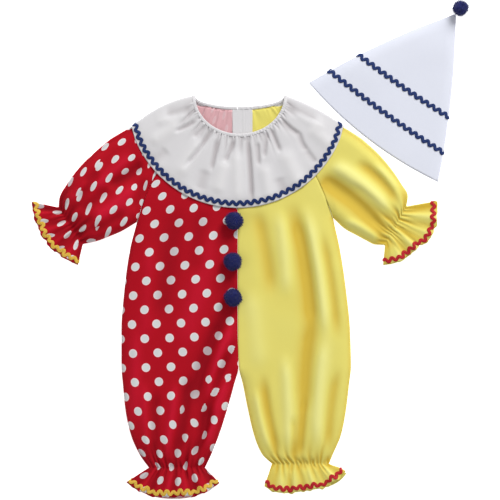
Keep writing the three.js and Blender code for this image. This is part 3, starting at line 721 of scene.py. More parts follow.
sleeveFolds = {
    "red": [
        (-158, 132, -214, 96, 4, 9, -3.2, 0.5), (-178, 142, -240, 92, 4, 10, 2.4, 0),
        (-172, 96, -238, 44, 4, 12, 3.2, -0.3), (-188, 56, -240, 26, 2, 8, -2.4, 0.4),
        (-226, 118, -262, 76, 3, 8, -2.2, 0.4), (-212, 92, -254, 58, 2, 7, -2.0, 0.3),
        (-244, 104, -274, 74, 2, 6, 1.8, 0), (-150, 104, -176, 62, 0, 9, -1.8, 0.4),
    ],
    "yellow": [
        (100, 112, 204, 24, 6, 13, -5.0, 0.35), (118, 130, 210, 54, 6, 11, 4.2, -0.3),
        (160, 132, 222, 70, 5, 9, -2.8, 0.3), (186, 128, 230, 74, 4, 7, 2.0, 0),
        (140, 44, 194, 14, 3, 7, 2.2, 0), (152, 100, 214, 44, 3, 6, -1.4, 0.4),
    ],
}
sleeveLooks = {
    "red": {"out": redDotCotton, "in": redWrongSide, "slot": "red_dot_cotton", "seed": 31,
            "frill": "cuffRed"},
    "yellow": {"out": yellowCotton, "in": yellowCotton, "slot": "yellow_cotton", "seed": 43,
               "frill": "cuffYellow"},
}


def foldedTube(rows, rowsBack, shareFront, shareBack, outward, reliefOf, turnSteps=8):
    # one skin: front from the seam to the fold, round the fold, back to the seam underneath
    x, y, length = planOf(rows, shareFront, outward)
    floor = rows["lift"] + cloth["seamZ"]
    crownA = mixValues(1, crownOf(shareFront * length, cloth["crownReach"] * 0.8), rows["dropA"])
    crownB = crownOf((1 - shareFront) * length + 1.5, cloth["crownReach"] * 0.8)
    edge = crownA * crownB
    relief = reliefOf(x, y, shareFront, edge)
    z = floor + (rows["height"] - floor) * edge + relief
    least = floor + 0.3 * edge
    z = np.where(z < least, least - 0.25 * (1 - np.exp((z - least) / 1.5)), z)
    front = np.stack([x, y, np.maximum(z, floor - 0.2)], 2)
    lastFront = front[:, -1]
    xb, yb, _ = planOf(rowsBack, shareBack, outward)
    back = np.stack([xb, yb, np.broadcast_to(rows["lift"] + 0.15, xb.shape)], 2)
    firstBack = back[:, 0]
    angles = np.linspace(0, math.pi, turnSteps + 2)[1:-1]
    middle = (lastFront + firstBack) / 2
    reach = (lastFront - firstBack) / 2
    out = front[:, -1] - front[:, -4]
    out[:, 2] = 0
    out = out / np.maximum(np.linalg.norm(out, axis=1, keepdims=True), 1e-9)
    turn = np.stack([middle + reach * math.cos(a) + out * np.linalg.norm(reach, axis=1, keepdims=True)
                     * math.sin(a) for a in angles], 1)
    return np.concatenate([front, turn, back], 1)


sleeveTucks = [
    (-218, 143, -264, 74, 5), (-178, 113, -206, 102, 6), (-221, 39, -242, 26, 5), (-170, 150, -190, 140, 4),
]


def layPrint(u, v, turn, shiftX, shiftY):
    # the same print laid on the sleeve's cut at its own angle and place
    a, b = math.radians(turn), math.radians(dots["tilt"])
    x = u * math.cos(a) + v * math.sin(a) + shiftX - dots["phaseX"]
    y = v * math.cos(a) - u * math.sin(a) + shiftY - dots["phaseY"]
    return np.stack([x * math.cos(b) - y * math.sin(b), x * math.sin(b) + y * math.cos(b)], 2)


def buildSleeve(half):
    look = sleeveLooks[half]
    side = -1 if half == "red" else 1
    out = neck["band"] + 0.5
    frontEnd = [float(v) for v in neckPoint(neckTurn[half], out)]
    backEnd = [float(v) for v in neckPoint(-neckTurn[half], out)]
    foldEnd = [float(v) for v in neckPoint(174 if half == "red" else 6, out)]
    gap = side * cloth["seamGap"] / 2

    def rowsFor(back):
        first = backEnd if back else frontEnd
        upper = [sectionRow((first[0] + gap, first[1]), foldEnd, 4, 2, cloth["yokeLift"], 6.4, 0, 0, 1)]
        last = len(raglan[half]) - 1
        for k, (sx, sy, fx, fy, rise) in enumerate(raglan[half]):
            bow = (2, 1, 0, 0, 0)[k]
            lift = cloth["yokeLift"] * (1 - ((k + 1) / (last + 1)) ** 3)
            upper.append(sectionRow((sx + gap, sy + (rise if back else 0)), (fx, fy), bow, 2, lift,
                                    (6.6, 6.6, 6.8, 8.0, 10.5)[k], 0, 1 if k == last else 0, 1))
        lower = [upper[-1]]
        lower += [sectionRow((sx, sy), (fx, fy), 0, 2, 0, high, 0, 1, 1)
                  for sx, sy, fx, fy, high in sleeveSections[half]]
        frillPart = frillRows(frills[look["frill"]], (4.2, 6.4, 7, 6.6))
        lower.append(frillPart[0])
        return [upper, lower, frillPart]

    rows, starts = sampleSections(rowsFor(False), cloth["rowStep"])
    rowsBack, _ = sampleSections(rowsFor(True), cloth["rowStep"])
    count = len(rows["ax"])
    if len(rowsBack["ax"]) != count:
        keys = np.linspace(0, 1, len(rowsBack["ax"]))
        rowsBack = {name: np.interp(np.linspace(0, 1, count), keys, column[:, 0])[:, None]
                    for name, column in rowsBack.items()}
    stepX = np.diff(rows["ax"][:, 0] + rows["bx"][:, 0])
    stepY = np.diff(rows["ay"][:, 0] + rows["by"][:, 0])
    distance = np.concatenate([[0], np.cumsum(np.hypot(stepX, stepY) / 2)])[:, None]
    gatherRow = starts[2] - 1
    above = np.clip(distance[gatherRow] - distance, 0, None)
    below = np.clip(distance - distance[gatherRow], 0, None)

    foldShades = []
    length = np.hypot(rows["bx"] - rows["ax"], rows["by"] - rows["ay"])

    def relief(x, y, share, edge):
        folds = foldField(x, y, sleeveFolds[half]) * 1.25 * underCollar(x, y) \
            + 0.3 * waveNoise(x, y, 50, look["seed"])
        pleats = np.where(above > 0, gatherPleats(share, above, 14, look["seed"], 3.4, 24),
                          gatherPleats(share, below, 14, look["seed"], 3.2, 16))
        flutes = hemFlutes(share, below, 26, look["seed"] + 5)
        pinch = np.exp(-((distance - distance[gatherRow]) / 2.2) ** 2)
        raglanDip = 0.8 * np.exp(-(share * length / 2) ** 2)
        edgeFar = np.minimum((1 - share) * length, share * length + 40 * (1 - rows["dropA"]))
        # painted shade and highlight from the folds, pleats and flutes, and painted shade near open edges
        foldShades.append(foldShadeOf(folds + pleats * 1.2 + flutes * 1.5, edgeFar))
        return (folds + pleats + flutes - pinch * 0.8) * edge - raglanDip * (1 - rows["dropA"])

    shareFront = np.linspace(0, 1, 81)[None, :] * 0.995
    shareBack = np.linspace(1, 0, 33)[None, :] * 0.995
    grid = foldedTube(rows, rowsBack, shareFront, shareBack, side, relief)
    grid = frillHem(grid, shareFront, below / below.max(), look["frill"])
    foldShade = np.zeros(grid.shape[:2])
    foldShade[:, :shareFront.shape[1]] = foldShades[0]
    across = arcAlong(grid, 1)
    fold = shareFront.shape[1] + 4
    stretch = np.maximum(frills[look["frill"]]["cloth"] / across[:, fold:fold + 1], 1.12)
    u = (across - across[:, fold:fold + 1]) * stretch
    down = arcAlong(grid, 0) * 1.1
    v = -(down - down[starts[1] - 1:starts[1]])
    front = grid[:, :shareFront.shape[1]]
    u[:, :shareFront.shape[1]] += tuckField(front[:, :, 0], front[:, :, 1], sleeveTucks)
    uvs = layPrint(u * 1.22, v * 0.83, -14.3, 7.2, 14.8)
    grids["sleeve_" + half] = (grid, side, starts)
    piece = clothShell("sleeve_" + half + "_cloth", grid, side, uvs, look["out"], look["in"], foldShade=foldShade)
    finishPiece(piece, look["slot"], "sleeve_" + half)
    return piece


collar = {
    "x": -18.75, "y": 228.75, "radius": 165.75, "leftAngle": 195.5, "rightAngle": 345,
    "leftBulge": 8, "rightBulge": 4, "topZ": 10.9, "underZ": 1.3,
    "rows": 64, "front": 300, "back": 90, "turn": 10,
}
# creases (-) and ridges (+) of the collar, in the garment's plan
collarFolds = [
    # ax, ay, bx, by, bend, width, rise, lean
    (-57, 180, -98, 124, 2, 3.6, -3.6, 0.5), (-80, 193, -113, 177, 1, 3.4, -2.8, 0.5),
    (-48, 165, -58, 118, 0, 3.4, -2.8, 0.4), (-24, 163, -37, 131, 0, 3.0, -2.6, 0.4),
    (-4, 170, 3, 70, 1, 3.8, -3.6, 0.4), (12, 161, 13, 126, 0, 3.2, -2.4, 0.3),
    (26, 177, 21, 138, 0, 3.4, -2.4, 0.3), (31, 182, 45, 146, 0, 3.4, -2.6, -0.3),
    (48, 195, 76, 172, -2, 4.2, -2.8, 0.4), (74, 174, 86, 148, -2, 4.4, -2.4, 0.4),
    (84, 150, 99, 130, 0, 4.8, -1.8, 0.4), (54, 219, 104, 195, -3, 8, -2.0, 0),
    (-86, 212, -128, 203, 2, 8, -2.0, 0), (-68, 186, -84, 168, 0, 3.0, -1.8, 0.3),
    (-37, 133, -50, 84, 0, 9, 2.4, 0), (-21, 150, -18, 72, 0, 9, 2.2, 0), (20, 128, 30, 72, 0, 9, 2.2, 0),
    (50, 150, 76, 94, 0, 12, 2.4, 0), (-72, 166, -108, 110, 0, 10, 2.4, 0),
    (-104, 190, -150, 160, 0, 10, 2.2, 0),
    (-94, 204, -140, 190, 0, 7, 1.4, 0), (88, 184, 124, 156, 0, 10, 2.2, 0),
    (64, 206, 112, 182, 0, 7, 1.6, 0),
    (-66, 120, -76, 88, 0, 8, -1.6, 0), (42, 108, 52, 82, 0, 8, -1.6, 0),
    (-124, 150, -146, 130, 0, 8, -1.4, 0),
]


def collarPlan(share, back, out):
    hemAngle = np.radians(mixValues(collar["rightAngle"], collar["leftAngle"], share))
    start = neckPoint(np.where(back, -180 * share, 180 * share), neck["band"] - 0.6)
    hemX = collar["x"] + collar["radius"] * np.cos(hemAngle)
    hemY = collar["y"] + collar["radius"] * np.sin(hemAngle)
    full = collar["leftBulge"] * (1 - smoothStep((1 - share) / 0.14)) \
        + collar["rightBulge"] * (1 - smoothStep(share / 0.14))
    return mixValues(start[0], hemX, out), mixValues(start[1], hemY, out) + full * 4 * out * (1 - out)


def collarRelief(x, y, share, out):
    fine = gatherPleats(share, out * 110, 52, 71, 2.0, 20)
    hem = 0.7 * smoothStep((out - 0.7) / 0.3) * np.sin(share * 61 + 1.3) * np.sin(share * 17)
    return foldField(x, y, collarFolds) * smoothStep(out / 0.05) + fine + hem


def buildCollar():
    out = np.linspace(0, 1, collar["rows"])[:, None]
    gap = 0.004
    middle = centreAngle(neck["band"]) / 180
    half = (collar["topZ"] - collar["underZ"]) / 2

    foldShades = []

    def backPart(shares):
        x, y = collarPlan(shares[None, :], True, out)
        z = collar["underZ"] - gatherPleats(shares[None, :], out * 110, 40, 77, 0.6, 20) + 0 * x
        return np.stack([x, y, z], 2)

    def frontPart(shares):
        x, y = collarPlan(shares[None, :], False, out)
        rim = smoothStep(np.minimum(shares, 1 - shares) / 0.06)[None, :]
        drop = 2.2 * smoothStep((out - 0.85) / 0.15)
        relief = collarRelief(x, y, shares[None, :], out)
        z = collar["topZ"] - 2.4 + 2.4 * rim - drop * rim + relief * rim
        z = np.where(z < 8.0, 8.0 - 0.5 * (1 - np.exp((z - 8.0) / 1.5)), z)
        # painted shade and highlight from the collar's folds and pleats
        foldShades.append(foldShadeOf(relief, 40 + 0 * x, 3.4))
        return np.stack([x, y, z], 2)

    def turnPart(right):
        share = 0.0 if right else 1.0
        x, y = collarPlan(np.array([[share]]), False, out)
        nx, ny = collarPlan(np.array([[0.25 if right else 0.75]]), False, out)
        far = np.hypot(nx - x, ny - y)
        angles = np.linspace(math.pi, 0, collar["turn"]) if right else np.linspace(0, math.pi, collar["turn"])
        high = half - 1.2
        inset = high * (1 - np.sin(angles))[None, :]
        z = collar["underZ"] + high + high * np.cos(angles)[None, :] + 0 * x
        return np.stack([x + (nx - x) / far * inset, y + (ny - y) / far * inset, z], 2)

    frontShares = np.linspace(0.045, 0.955, collar["front"])
    backRight = np.linspace(middle - gap, 0.07, collar["back"] // 2)
    backLeft = np.linspace(0.93, middle + gap, collar["back"] // 2)
    grid = np.concatenate([backPart(backRight), turnPart(True), frontPart(frontShares),
                           turnPart(False), backPart(backLeft)], 1)
    across = arcAlong(grid, 1)
    uvs = np.stack([across, arcAlong(grid, 0)], 2)
    grids["collar"] = (grid, -1, None)
    foldShade = np.zeros(grid.shape[:2])
    before = len(backRight) + collar["turn"]
    foldShade[:, before:before + collar["front"]] = foldShades[0]
    piece = clothShell("collar_flounce", grid, -1, uvs, whiteCotton, foldShade=foldShade)
    finishPiece(piece, "white_cotton", "collar")
    return piece


band = {
    "steps": 420, "around": 14, "half": 1.25, "frontZ": 9.6, "backZ": 4.4, "turnSpan": 16, "pucker": 0.5,
    "hollow": 0.8,
}


def buildNeckBand():
    start, end = -centreAngle(0) + 0.5, 360 - centreAngle(0) - 0.5
    degrees = np.linspace(start, end, band["steps"])
    span = band["turnSpan"]
    nearest = np.minimum(degrees + span, 180 + span - degrees) / (2 * span)
    roll = math.pi * (1 - smoothStep(nearest))
    centreZ = mixValues(band["backZ"], band["frontZ"], (1 + np.cos(roll)) / 2)
    thick = np.stack([0 * roll, np.sin(roll), np.cos(roll)], 1)
    innerX, innerY = neckPoint(degrees, 0)
    outerX, outerY = neckPoint(degrees, neck["band"])
    inner = np.stack([innerX, innerY, centreZ], 1)
    outer = np.stack([outerX, outerY, centreZ], 1)
    pucker = 1 + band["pucker"] * waveNoise(degrees * 3.2, 0 * degrees, 9, 5) \
        + 0.25 * np.sin(degrees * 1.9 * (1 + 0.1 * np.sin(degrees * 0.07)))
    turns = np.linspace(0, math.tau, band["around"], endpoint=False)
    rings = []
    for angle in turns:
        wide = 0.5 + 0.5 * np.sign(math.cos(angle)) * abs(math.cos(angle)) ** 0.6
        high = np.sign(math.sin(angle)) * abs(math.sin(angle)) ** 0.8
        rings.append(mixValues(inner, outer, wide) + thick * (band["half"] * high * pucker)[:, None])
    loops = np.stack(rings, 1)
    count = band["around"]
    index = np.arange(band["steps"] * count).reshape(band["steps"], count)
    after = np.roll(index, -1, axis=1)
    quads = np.stack([index[:-1], index[1:], after[1:], after[:-1]], -1).reshape(-1, 4)
    # the strip is wrapped round, so the tube is hollow: an inner skin, joined to the outer at its two ends
    middle = loops.mean(axis=1, keepdims=True)
    inside = middle + (loops - middle) * band["hollow"]
    under = len(index) * count
    ends = [np.stack([row, turned, turned + under, row + under], -1)
            for row, turned in ((index[0], after[0]), (after[-1], index[-1]))]
    faces = np.concatenate([quads, quads[:, ::-1] + under, *ends]).tolist()
    along = np.repeat(np.arange(band["steps"]) * 0.9, count)
    uvs = np.stack([along, np.tile(np.arange(count) * 0.9, band["steps"])], 1)
    points = np.concatenate([loops.reshape(-1, 3), inside.reshape(-1, 3)])
    piece = newMesh("neck_binding", points, faces, np.concatenate([uvs, uvs]), [whiteCotton])
    fixNormals(piece)
    finishPiece(piece, "white_cotton", "neck_band")
    return piece


def fixNormals(piece):
    work = bmesh.new()
    work.from_mesh(piece.data)
    bmesh.ops.recalc_face_normals(work, faces=work.faces)
    work.to_mesh(piece.data)
    work.free()


placket = {"x": -11.3, "width": 30, "length": 150}


def buildPlacket():
    top = float(neckPoint(-90.0, neck["band"] - 1)[1])
    across = np.linspace(-1, 1, 41)[None, :]
    down = np.linspace(0, 1, 90)[:, None]
    x = placket["x"] + across * placket["width"] / 2 + 0 * down
    y = top - placket["length"] * down + 0 * across
    ridge = 0.5 * np.exp(-((across - 0.12) / 0.05) ** 2) - 0.4 * np.exp(-((across - 0.2) / 0.04) ** 2)
    z = 4.9 + ridge + 0.15 * waveNoise(x, y, 40, 9)
    grid = np.stack([x, y, z], 2)
    uvs = np.stack([x, y], 2)
    piece = clothShell("placket_strip", grid, 1, uvs, whiteCotton, thick=0.7)
    finishPiece(piece, "white_cotton", "back_placket")
    return piece


hat = {
    "brimSeam": (282, 102), "brimFold": (88.5, 250.5), "tip": (309, 354), "bulge": 6, "tipCut": 0.99,
    "height": 5.2, "creases": [(150, 250, 282, 322, -4, 30, 1.2, 0), (236, 150, 292, 300, 3, 22, -0.9, 0.3)],
}
hatSections = [
    # share along the seam edge, share along the fold edge, bow
    (0, 0, 13), (0.09, 0.07, 7), (0.165, 0.137, 3.2), (0.26, 0.23, 2.6), (0.38, 0.342, 2.1),
    (0.5, 0.47, 1.5), (0.72, 0.71, 0.8), (1, 1, 0),
]


def hatEdge(brim, share, sign):
    along = share * hat["tipCut"]
    dx, dy = hat["tip"][0] - brim[0], hat["tip"][1] - brim[1]
    reach = sign * hat["bulge"] * 4 * along * (1 - along) / math.hypot(dx, dy)
    return brim[0] + dx * along - dy * reach, brim[1] + dy * along + dx * reach


def buildHat():
    table = []
    for seam, fold, bow in hatSections:
        high = hat["height"] if seam < 1 else 3.4
        table.append(sectionRow(hatEdge(hat["brimSeam"], seam, -1), hatEdge(hat["brimFold"], fold, 1),
                                bow, 2, 0.25, high, 0, 1, 1))
    rows, starts = sampleSections([table], 2.6)

    def relief(x, y, share, edge):
        return (foldField(x, y, hat["creases"]) + 0.25 * waveNoise(x, y, 90, 3)) * edge

    shareFront = np.linspace(0, 1, 81)[None, :] * 0.998
    shareBack = np.linspace(1, 0, 41)[None, :] * 0.998
    grid = foldedTube(rows, rows, shareFront, shareBack, -1, relief)
    uvs = np.stack([arcAlong(grid, 1), arcAlong(grid, 0)], 2)
    grids["hat"] = (grid, 1, starts)
    piece = clothShell("hat_cloth", grid, 1, uvs, hatCloth, thick=0.8)
    finishPiece(piece, "hat_white", "hat_cone")
    return piece


def inputSocket(group, name, kind, value):
    socket = group.interface.new_socket(name=name, in_out="INPUT", socket_type=kind)
    if value is not None:
        socket.default_value = value
    return socket


def treeNode(group, kind, settings=None, links=None, values=None):
    made = group.nodes.new(kind)
    for key, value in (settings or {}).items():
        setattr(made, key, value)
    for key, value in (values or {}).items():
        made.inputs[key].default_value = value
    for key, source in (links or {}).items():
        group.links.new(source, made.inputs[key])
    return made


def ricRacTree():
    # a flat braid swept along the path, swung from side to side by a sine of its length
    group = bpy.data.node_groups.new("ricRacBraid", "GeometryNodeTree")
    inputSocket(group, "Path", "NodeSocketGeometry", None)
    inputSocket(group, "Period", "NodeSocketFloat", 0.011)
    inputSocket(group, "Swing", "NodeSocketFloat", 0.0019)
    inputSocket(group, "Width", "NodeSocketFloat", 0.0026)
    inputSocket(group, "Thickness", "NodeSocketFloat", 0.0006)
    inputSocket(group, "Material", "NodeSocketMaterial", None)
    group.interface.new_socket(name="Braid", in_out="OUTPUT", socket_type="NodeSocketGeometry")
    given = group.nodes.new("NodeGroupInput").outputs
    curve = treeNode(group, "GeometryNodeMeshToCurve", links={"Mesh": given["Path"]})
    fine = treeNode(group, "GeometryNodeResampleCurve", {"mode": "LENGTH"}, {"Curve": curve.outputs[0]},
                    {"Length": 0.0009})
    along = treeNode(group, "GeometryNodeSplineParameter")
    turns = treeNode(group, "ShaderNodeMath", {"operation": "DIVIDE"},
                     {0: along.outputs["Length"], 1: given["Period"]})
    phase = treeNode(group, "ShaderNodeMath", {"operation": "MULTIPLY"}, {0: turns.outputs[0]}, {1: math.tau})
    wave = treeNode(group, "ShaderNodeMath", {"operation": "SINE"}, {0: phase.outputs[0]})
    swing = treeNode(group, "ShaderNodeMath", {"operation": "MULTIPLY"},
                     {0: wave.outputs[0], 1: given["Swing"]})
    side = treeNode(group, "GeometryNodeInputNamedAttribute", {"data_type": "FLOAT_VECTOR"},
                  values={"Name": "side"})
    offset = treeNode(group, "ShaderNodeVectorMath", {"operation": "SCALE"},
                      {0: side.outputs[0], "Scale": swing.outputs[0]})
    swung = treeNode(group, "GeometryNodeSetPosition", links={
        "Geometry": fine.outputs[0], "Offset": offset.outputs[0]})
    up = treeNode(group, "GeometryNodeInputNamedAttribute", {"data_type": "FLOAT_VECTOR"},
                  values={"Name": "up"})
    turned = treeNode(group, "GeometryNodeSetCurveNormal", {"mode": "FREE"},
                      {"Curve": swung.outputs[0], "Normal": up.outputs[0]})
    ring = treeNode(group, "GeometryNodeCurvePrimitiveCircle", values={"Resolution": 10, "Radius": 1.0})
    size = treeNode(group, "ShaderNodeCombineXYZ", links={0: given["Thickness"], 1: given["Width"]},
                    values={2: 1.0})
    profile = treeNode(group, "GeometryNodeTransform", links={
        "Geometry": ring.outputs[0], "Scale": size.outputs[0]})
    swept = treeNode(group, "GeometryNodeCurveToMesh", links={
        "Curve": turned.outputs[0], "Profile Curve": profile.outputs[0]}, values={"Fill Caps": True})
    real = treeNode(group, "GeometryNodeRealizeInstances", links={0: swept.outputs[0]})
    painted = treeNode(group, "GeometryNodeSetMaterial", links={
        "Geometry": real.outputs[0], "Material": given["Material"]})
    smooth = treeNode(group, "GeometryNodeSetShadeSmooth", links={0: painted.outputs[0]})
    result = group.nodes.new("NodeGroupOutput")
    group.links.new(smooth.outputs[0], result.inputs[0])
    return group


def runTree(piece, group, inputs):
    # the tree's result as a plain mesh, with the modifier gone
    modifier = piece.modifiers.new("shape", "NODES")
    modifier.node_group = group
    names = {item.name: item.identifier for item in group.interface.items_tree if item.in_out == "INPUT"}
    for name, value in inputs.items():
        modifier[names[name]] = value
    bpy.context.view_layer.update()
    evaluated = piece.evaluated_get(bpy.context.evaluated_depsgraph_get())
    made = bpy.data.meshes.new_from_object(evaluated)
    piece.modifiers.clear()
    piece.data = made
    return piece


def pathPiece(name, points, side, up):
    mesh = bpy.data.meshes.new(name)
    edges = [(k, k + 1) for k in range(len(points) - 1)]
    mesh.from_pydata((np.asarray(points) + planShift) * mm, edges, [])
    for key, vectors in (("side", side), ("up", up)):
        layer = mesh.attributes.new(key, "FLOAT_VECTOR", "POINT")
        layer.data.foreach_set("vector", np.asarray(vectors, np.float32).ravel())
    piece = bpy.data.objects.new(name, mesh)
    bpy.context.scene.collection.objects.link(piece)
    return piece


def pathFrames(points, up):
    along = np.gradient(points, axis=0)
    along /= np.maximum(np.linalg.norm(along, axis=1, keepdims=True), 1e-9)
    side = np.cross(up, along)
    return side / np.maximum(np.linalg.norm(side, axis=1, keepdims=True), 1e-9)


def pathOnGrid(key, fromHem, lift, columns=slice(None), startRow=0):
    # points at a distance inside the hem of a skin, moved out by lift
    grid, side, _ = grids[key]
    normals = gridNormals(grid) * side
    down = arcAlong(grid[startRow:], 0)
    back = down[-1:] - down
    points, ups = [], []
    for j in range(*columns.indices(grid.shape[1])):
        at = np.interp(-fromHem, -back[:, j], np.arange(len(back)) + startRow)
        low, part = int(at), at - int(at)
        high = min(low + 1, grid.shape[0] - 1)
        points.append(mixValues(grid[low, j], grid[high, j], part))
        ups.append(mixValues(normals[low, j], normals[high, j], part))
    points, ups = np.array(points), np.array(ups)
    ups /= np.linalg.norm(ups, axis=1, keepdims=True)
    return points + ups * lift, ups


ricRac = {"period": 11.0, "swing": 2.5, "width": 2.5, "thickness": 0.55, "lift": 0.62}
braidTree = ricRacTree()


def smoothPath(points, passes):
    for _ in range(passes):
        points[1:-1] = points[1:-1] * 0.5 + (points[:-2] + points[2:]) * 0.25
    return points


def layBraid(name, points, ups, material, slot, *nodes):
    points, ups = smoothPath(points.copy(), 2), smoothPath(ups.copy(), 4)
    points[:, 2] = np.maximum(points[:, 2], ricRac["thickness"] + 0.02)
    side = pathFrames(points, ups)
    piece = pathPiece(name, points, side, ups)
    runTree(piece, braidTree, {
        "Period": ricRac["period"] * mm, "Swing": ricRac["swing"] * mm, "Width": ricRac["width"] * mm,
        "Thickness": ricRac["thickness"] * mm, "Material": material,
    })
    finishPiece(piece, slot, *nodes)
    return piece


def buildBraids():
    points, ups = pathOnGrid("collar", 7.2, ricRac["lift"])
    layBraid("collar_braid", points, ups, navyBraid, "navy_ricrac", "ricrac_collar")
    braids = (("red", goldBraid, "gold_ricrac"), ("yellow", scarletBraid, "scarlet_ricrac"))
    for half, material, slot in braids:
        points, ups = pathOnGrid("sleeve_" + half, 6.2, ricRac["lift"])
        layBraid("cuff_braid_" + half, points, ups, material, slot, "ricrac_cuff_" + half)
        front, frontUps = pathOnGrid("front_" + half, 6.6, ricRac["lift"])
        back, backUps = pathOnGrid("back_" + half, 6.6, ricRac["lift"])
        points = np.concatenate([front, back[::-1]])
        ups = np.concatenate([frontUps, backUps[::-1]])
        layBraid("ankle_braid_" + half, points, ups, material, slot, "ricrac_ankle_" + half)
    grid, side, _ = grids["hat"]
    normals = gridNormals(grid) * side
    for name, seam, fold in (("lower", 0.176, 0.137), ("upper", 0.392, 0.342)):
        down = arcAlong(grid, 0) / arcAlong(grid, 0)[-1:]
        level = np.argmin(np.abs(down[:, 0] - seam))
        row, ups = grid[level], normals[level]
        layBraid("hat_braid_" + name, row + ups * ricRac["lift"], ups, navyBraid, "navy_ricrac",
                 "ricrac_hat_" + name)


pompomLook = {"spacing": 1.0, "tuftLength": 2.6, "tuftRadius": 0.34, "core": 0.84, "seed": 5}


def pompomTree():
    # yarn tufts scattered over a ball, each a thin cone with a random lean
    group = bpy.data.node_groups.new("pompomYarn", "GeometryNodeTree")
    inputSocket(group, "Ball", "NodeSocketGeometry", None)
    inputSocket(group, "Spacing", "NodeSocketFloat", 0.0007)
    inputSocket(group, "Tuft Length", "NodeSocketFloat", 0.0026)
    inputSocket(group, "Tuft Radius", "NodeSocketFloat", 0.0003)
    inputSocket(group, "Seed", "NodeSocketInt", 5)
    inputSocket(group, "Material", "NodeSocketMaterial", None)
    group.interface.new_socket(name="Pompom", in_out="OUTPUT", socket_type="NodeSocketGeometry")
    given = group.nodes.new("NodeGroupInput").outputs
    spots = treeNode(group, "GeometryNodeDistributePointsOnFaces", {"distribute_method": "POISSON"},
                     {"Mesh": given["Ball"], "Distance Min": given["Spacing"], "Seed": given["Seed"]},
                     {"Density Max": 4000000.0})
    tuft = treeNode(group, "GeometryNodeMeshCone", {"fill_type": "NONE"}, {
        "Radius Bottom": given["Tuft Radius"], "Depth": given["Tuft Length"]},
        {"Vertices": 4, "Side Segments": 1, "Radius Top": 0.00012})
    lean = treeNode(group, "FunctionNodeRandomValue", {"data_type": "FLOAT_VECTOR"}, {"Seed": given["Seed"]},
                    {0: (-0.5, -0.5, -3.1), 1: (0.5, 0.5, 3.1)})
    turned = treeNode(group, "FunctionNodeRotateRotation", {"rotation_space": "LOCAL"},
                      {0: spots.outputs["Rotation"], 1: lean.outputs[0]})
    long = treeNode(group, "FunctionNodeRandomValue", {"data_type": "FLOAT"}, {"Seed": given["Seed"]},
                    {2: 0.65, 3: 1.25})
    placed = treeNode(group, "GeometryNodeInstanceOnPoints", links={
        "Points": spots.outputs["Points"], "Instance": tuft.outputs["Mesh"],
        "Rotation": turned.outputs[0], "Scale": long.outputs[1]})
    joined = treeNode(group, "GeometryNodeJoinGeometry")
    group.links.new(placed.outputs[0], joined.inputs[0])
    group.links.new(given["Ball"], joined.inputs[0])
    real = treeNode(group, "GeometryNodeRealizeInstances", links={0: joined.outputs[0]})
    painted = treeNode(group, "GeometryNodeSetMaterial", links={
        "Geometry": real.outputs[0], "Material": given["Material"]})
    result = group.nodes.new("NodeGroupOutput")
    group.links.new(painted.outputs[0], result.inputs[0])
    return group


yarnTree = pompomTree()


def buildPompom(name, node, seed):
    low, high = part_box(node)
    centre = (low + high) / 2
    radius = (high - low) / 2
    work = bmesh.new()
    bmesh.ops.create_icosphere(work, subdivisions=4, radius=1.0)
    rng = np.random.default_rng(seed)
    lumps = rng.normal(size=(9, 3))
    for vertex in work.verts:
        bumps = sum(math.sin(3.1 * vertex.co.dot(lump) + k) for k, lump in enumerate(lumps))
        push = pompomLook["core"] + 0.02 * bumps
        vertex.co = [centre[k] + vertex.co[k] * radius[k] * push for k in range(3)]
    mesh = bpy.data.meshes.new(name)
    work.to_mesh(mesh)
    work.free()
    piece = bpy.data.objects.new(name, mesh)
    bpy.context.scene.collection.objects.link(piece)
    runTree(piece, yarnTree, {
        "Spacing": pompomLook["spacing"] * mm, "Tuft Length": pompomLook["tuftLength"] * mm,
        "Tuft Radius": pompomLook["tuftRadius"] * mm, "Seed": seed, "Material": navyWool,
    })
    finishPiece(piece, "navy_wool", node)
    return piece


fronts = {half: buildBodyFront(half) for half in ("red", "yellow")}
backs = {half: buildBodyBack(half) for half in ("red", "yellow")}
print("body panels made")
sleeves = {half: buildSleeve(half) for half in ("red", "yellow")}
print("sleeves made")
collarPiece = buildCollar()
bandPiece = buildNeckBand()
placketPiece = buildPlacket()
print("collar, band and placket made")
hatPiece = buildHat()
buildBraids()
print("hat and braid made")
for number, node in enumerate(("pompom_top", "pompom_middle", "pompom_bottom", "hat_pompom")):
    buildPompom(node + "_yarn", node, pompomLook["seed"] + number)
print("pompoms made")


def halfArea(piece):
    return sum(face.area for face in piece.data.polygons) / 2


panels = [*fronts.values(), *backs.values(), *sleeves.values()]
for piece in [*panels, collarPiece, bandPiece, placketPiece, hatPiece]:
    print(piece.name, "cloth area", round(halfArea(piece), 4), "triangles",
          sum(len(face.vertices) - 2 for face in piece.data.polygons))


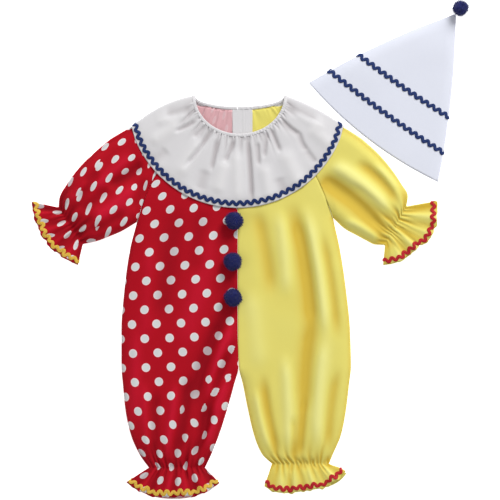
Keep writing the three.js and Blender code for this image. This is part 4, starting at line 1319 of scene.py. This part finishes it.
studio = {
    "cameraHeight": 4.0, "frameWidth": 0.75, "sensor": 36.0, "floorSize": 30.0, "floorGlow": 0.75,
    "keyPower": 215.0, "fillPower": 32.0, "world": 0.36,
}


def buildFloor():
    mesh = bpy.data.meshes.new("paleFloor")
    half = studio["floorSize"] / 2
    mesh.from_pydata([(-half, -half, -0.0003), (half, -half, -0.0003), (half, half, -0.0003),
                      (-half, half, -0.0003)], [], [(0, 1, 2, 3)])
    floor = bpy.data.objects.new("paleFloor", mesh)
    bpy.context.scene.collection.objects.link(floor)
    material, bench = newMaterial("paleFloor")
    surface = bench.node("ShaderNodeBsdfPrincipled", {}, {
        "Base Color": (0.97, 0.97, 0.97, 1), "Roughness": 0.9, "Specular IOR Level": 0.1,
        "Emission Color": (1, 1, 1, 1), "Emission Strength": studio["floorGlow"]})
    closeMaterial(bench, surface)
    mesh.materials.append(material)


def addLight(name, place, size, power, colour=(1, 1, 1)):
    data = bpy.data.lights.new(name, "AREA")
    data.shape = "DISK"
    data.size = size
    data.energy = power
    data.color = colour
    light = bpy.data.objects.new(name, data)
    light.location = place
    toward = -np.array(place)
    light.rotation_euler = mathutils.Vector(toward).to_track_quat("-Z", "Y").to_euler()
    bpy.context.scene.collection.objects.link(light)


def buildStudio():
    buildFloor()
    addLight("keyLight", (2.0, 3.9, 3.1), 2.6, studio["keyPower"])
    addLight("fillLight", (-3.6, -0.8, 4.8), 4.0, studio["fillPower"])
    world = bpy.data.worlds.new("studioWorld")
    world.use_nodes = True
    backdrop = world.node_tree.nodes["Background"]
    backdrop.inputs["Color"].default_value = (1, 1, 1, 1)
    backdrop.inputs["Strength"].default_value = studio["world"]
    scene = bpy.context.scene
    scene.world = world
    scene.view_settings.view_transform = "Standard"
    data = bpy.data.cameras.new("camera")
    data.sensor_width = studio["sensor"]
    data.lens = studio["sensor"] * studio["cameraHeight"] / studio["frameWidth"]
    data.clip_end = 100
    camera = bpy.data.objects.new("camera", data)
    camera.location = (planShift[0] * mm, planShift[1] * mm, studio["cameraHeight"])
    scene.collection.objects.link(camera)
    scene.camera = camera


buildStudio()
print("studio made")
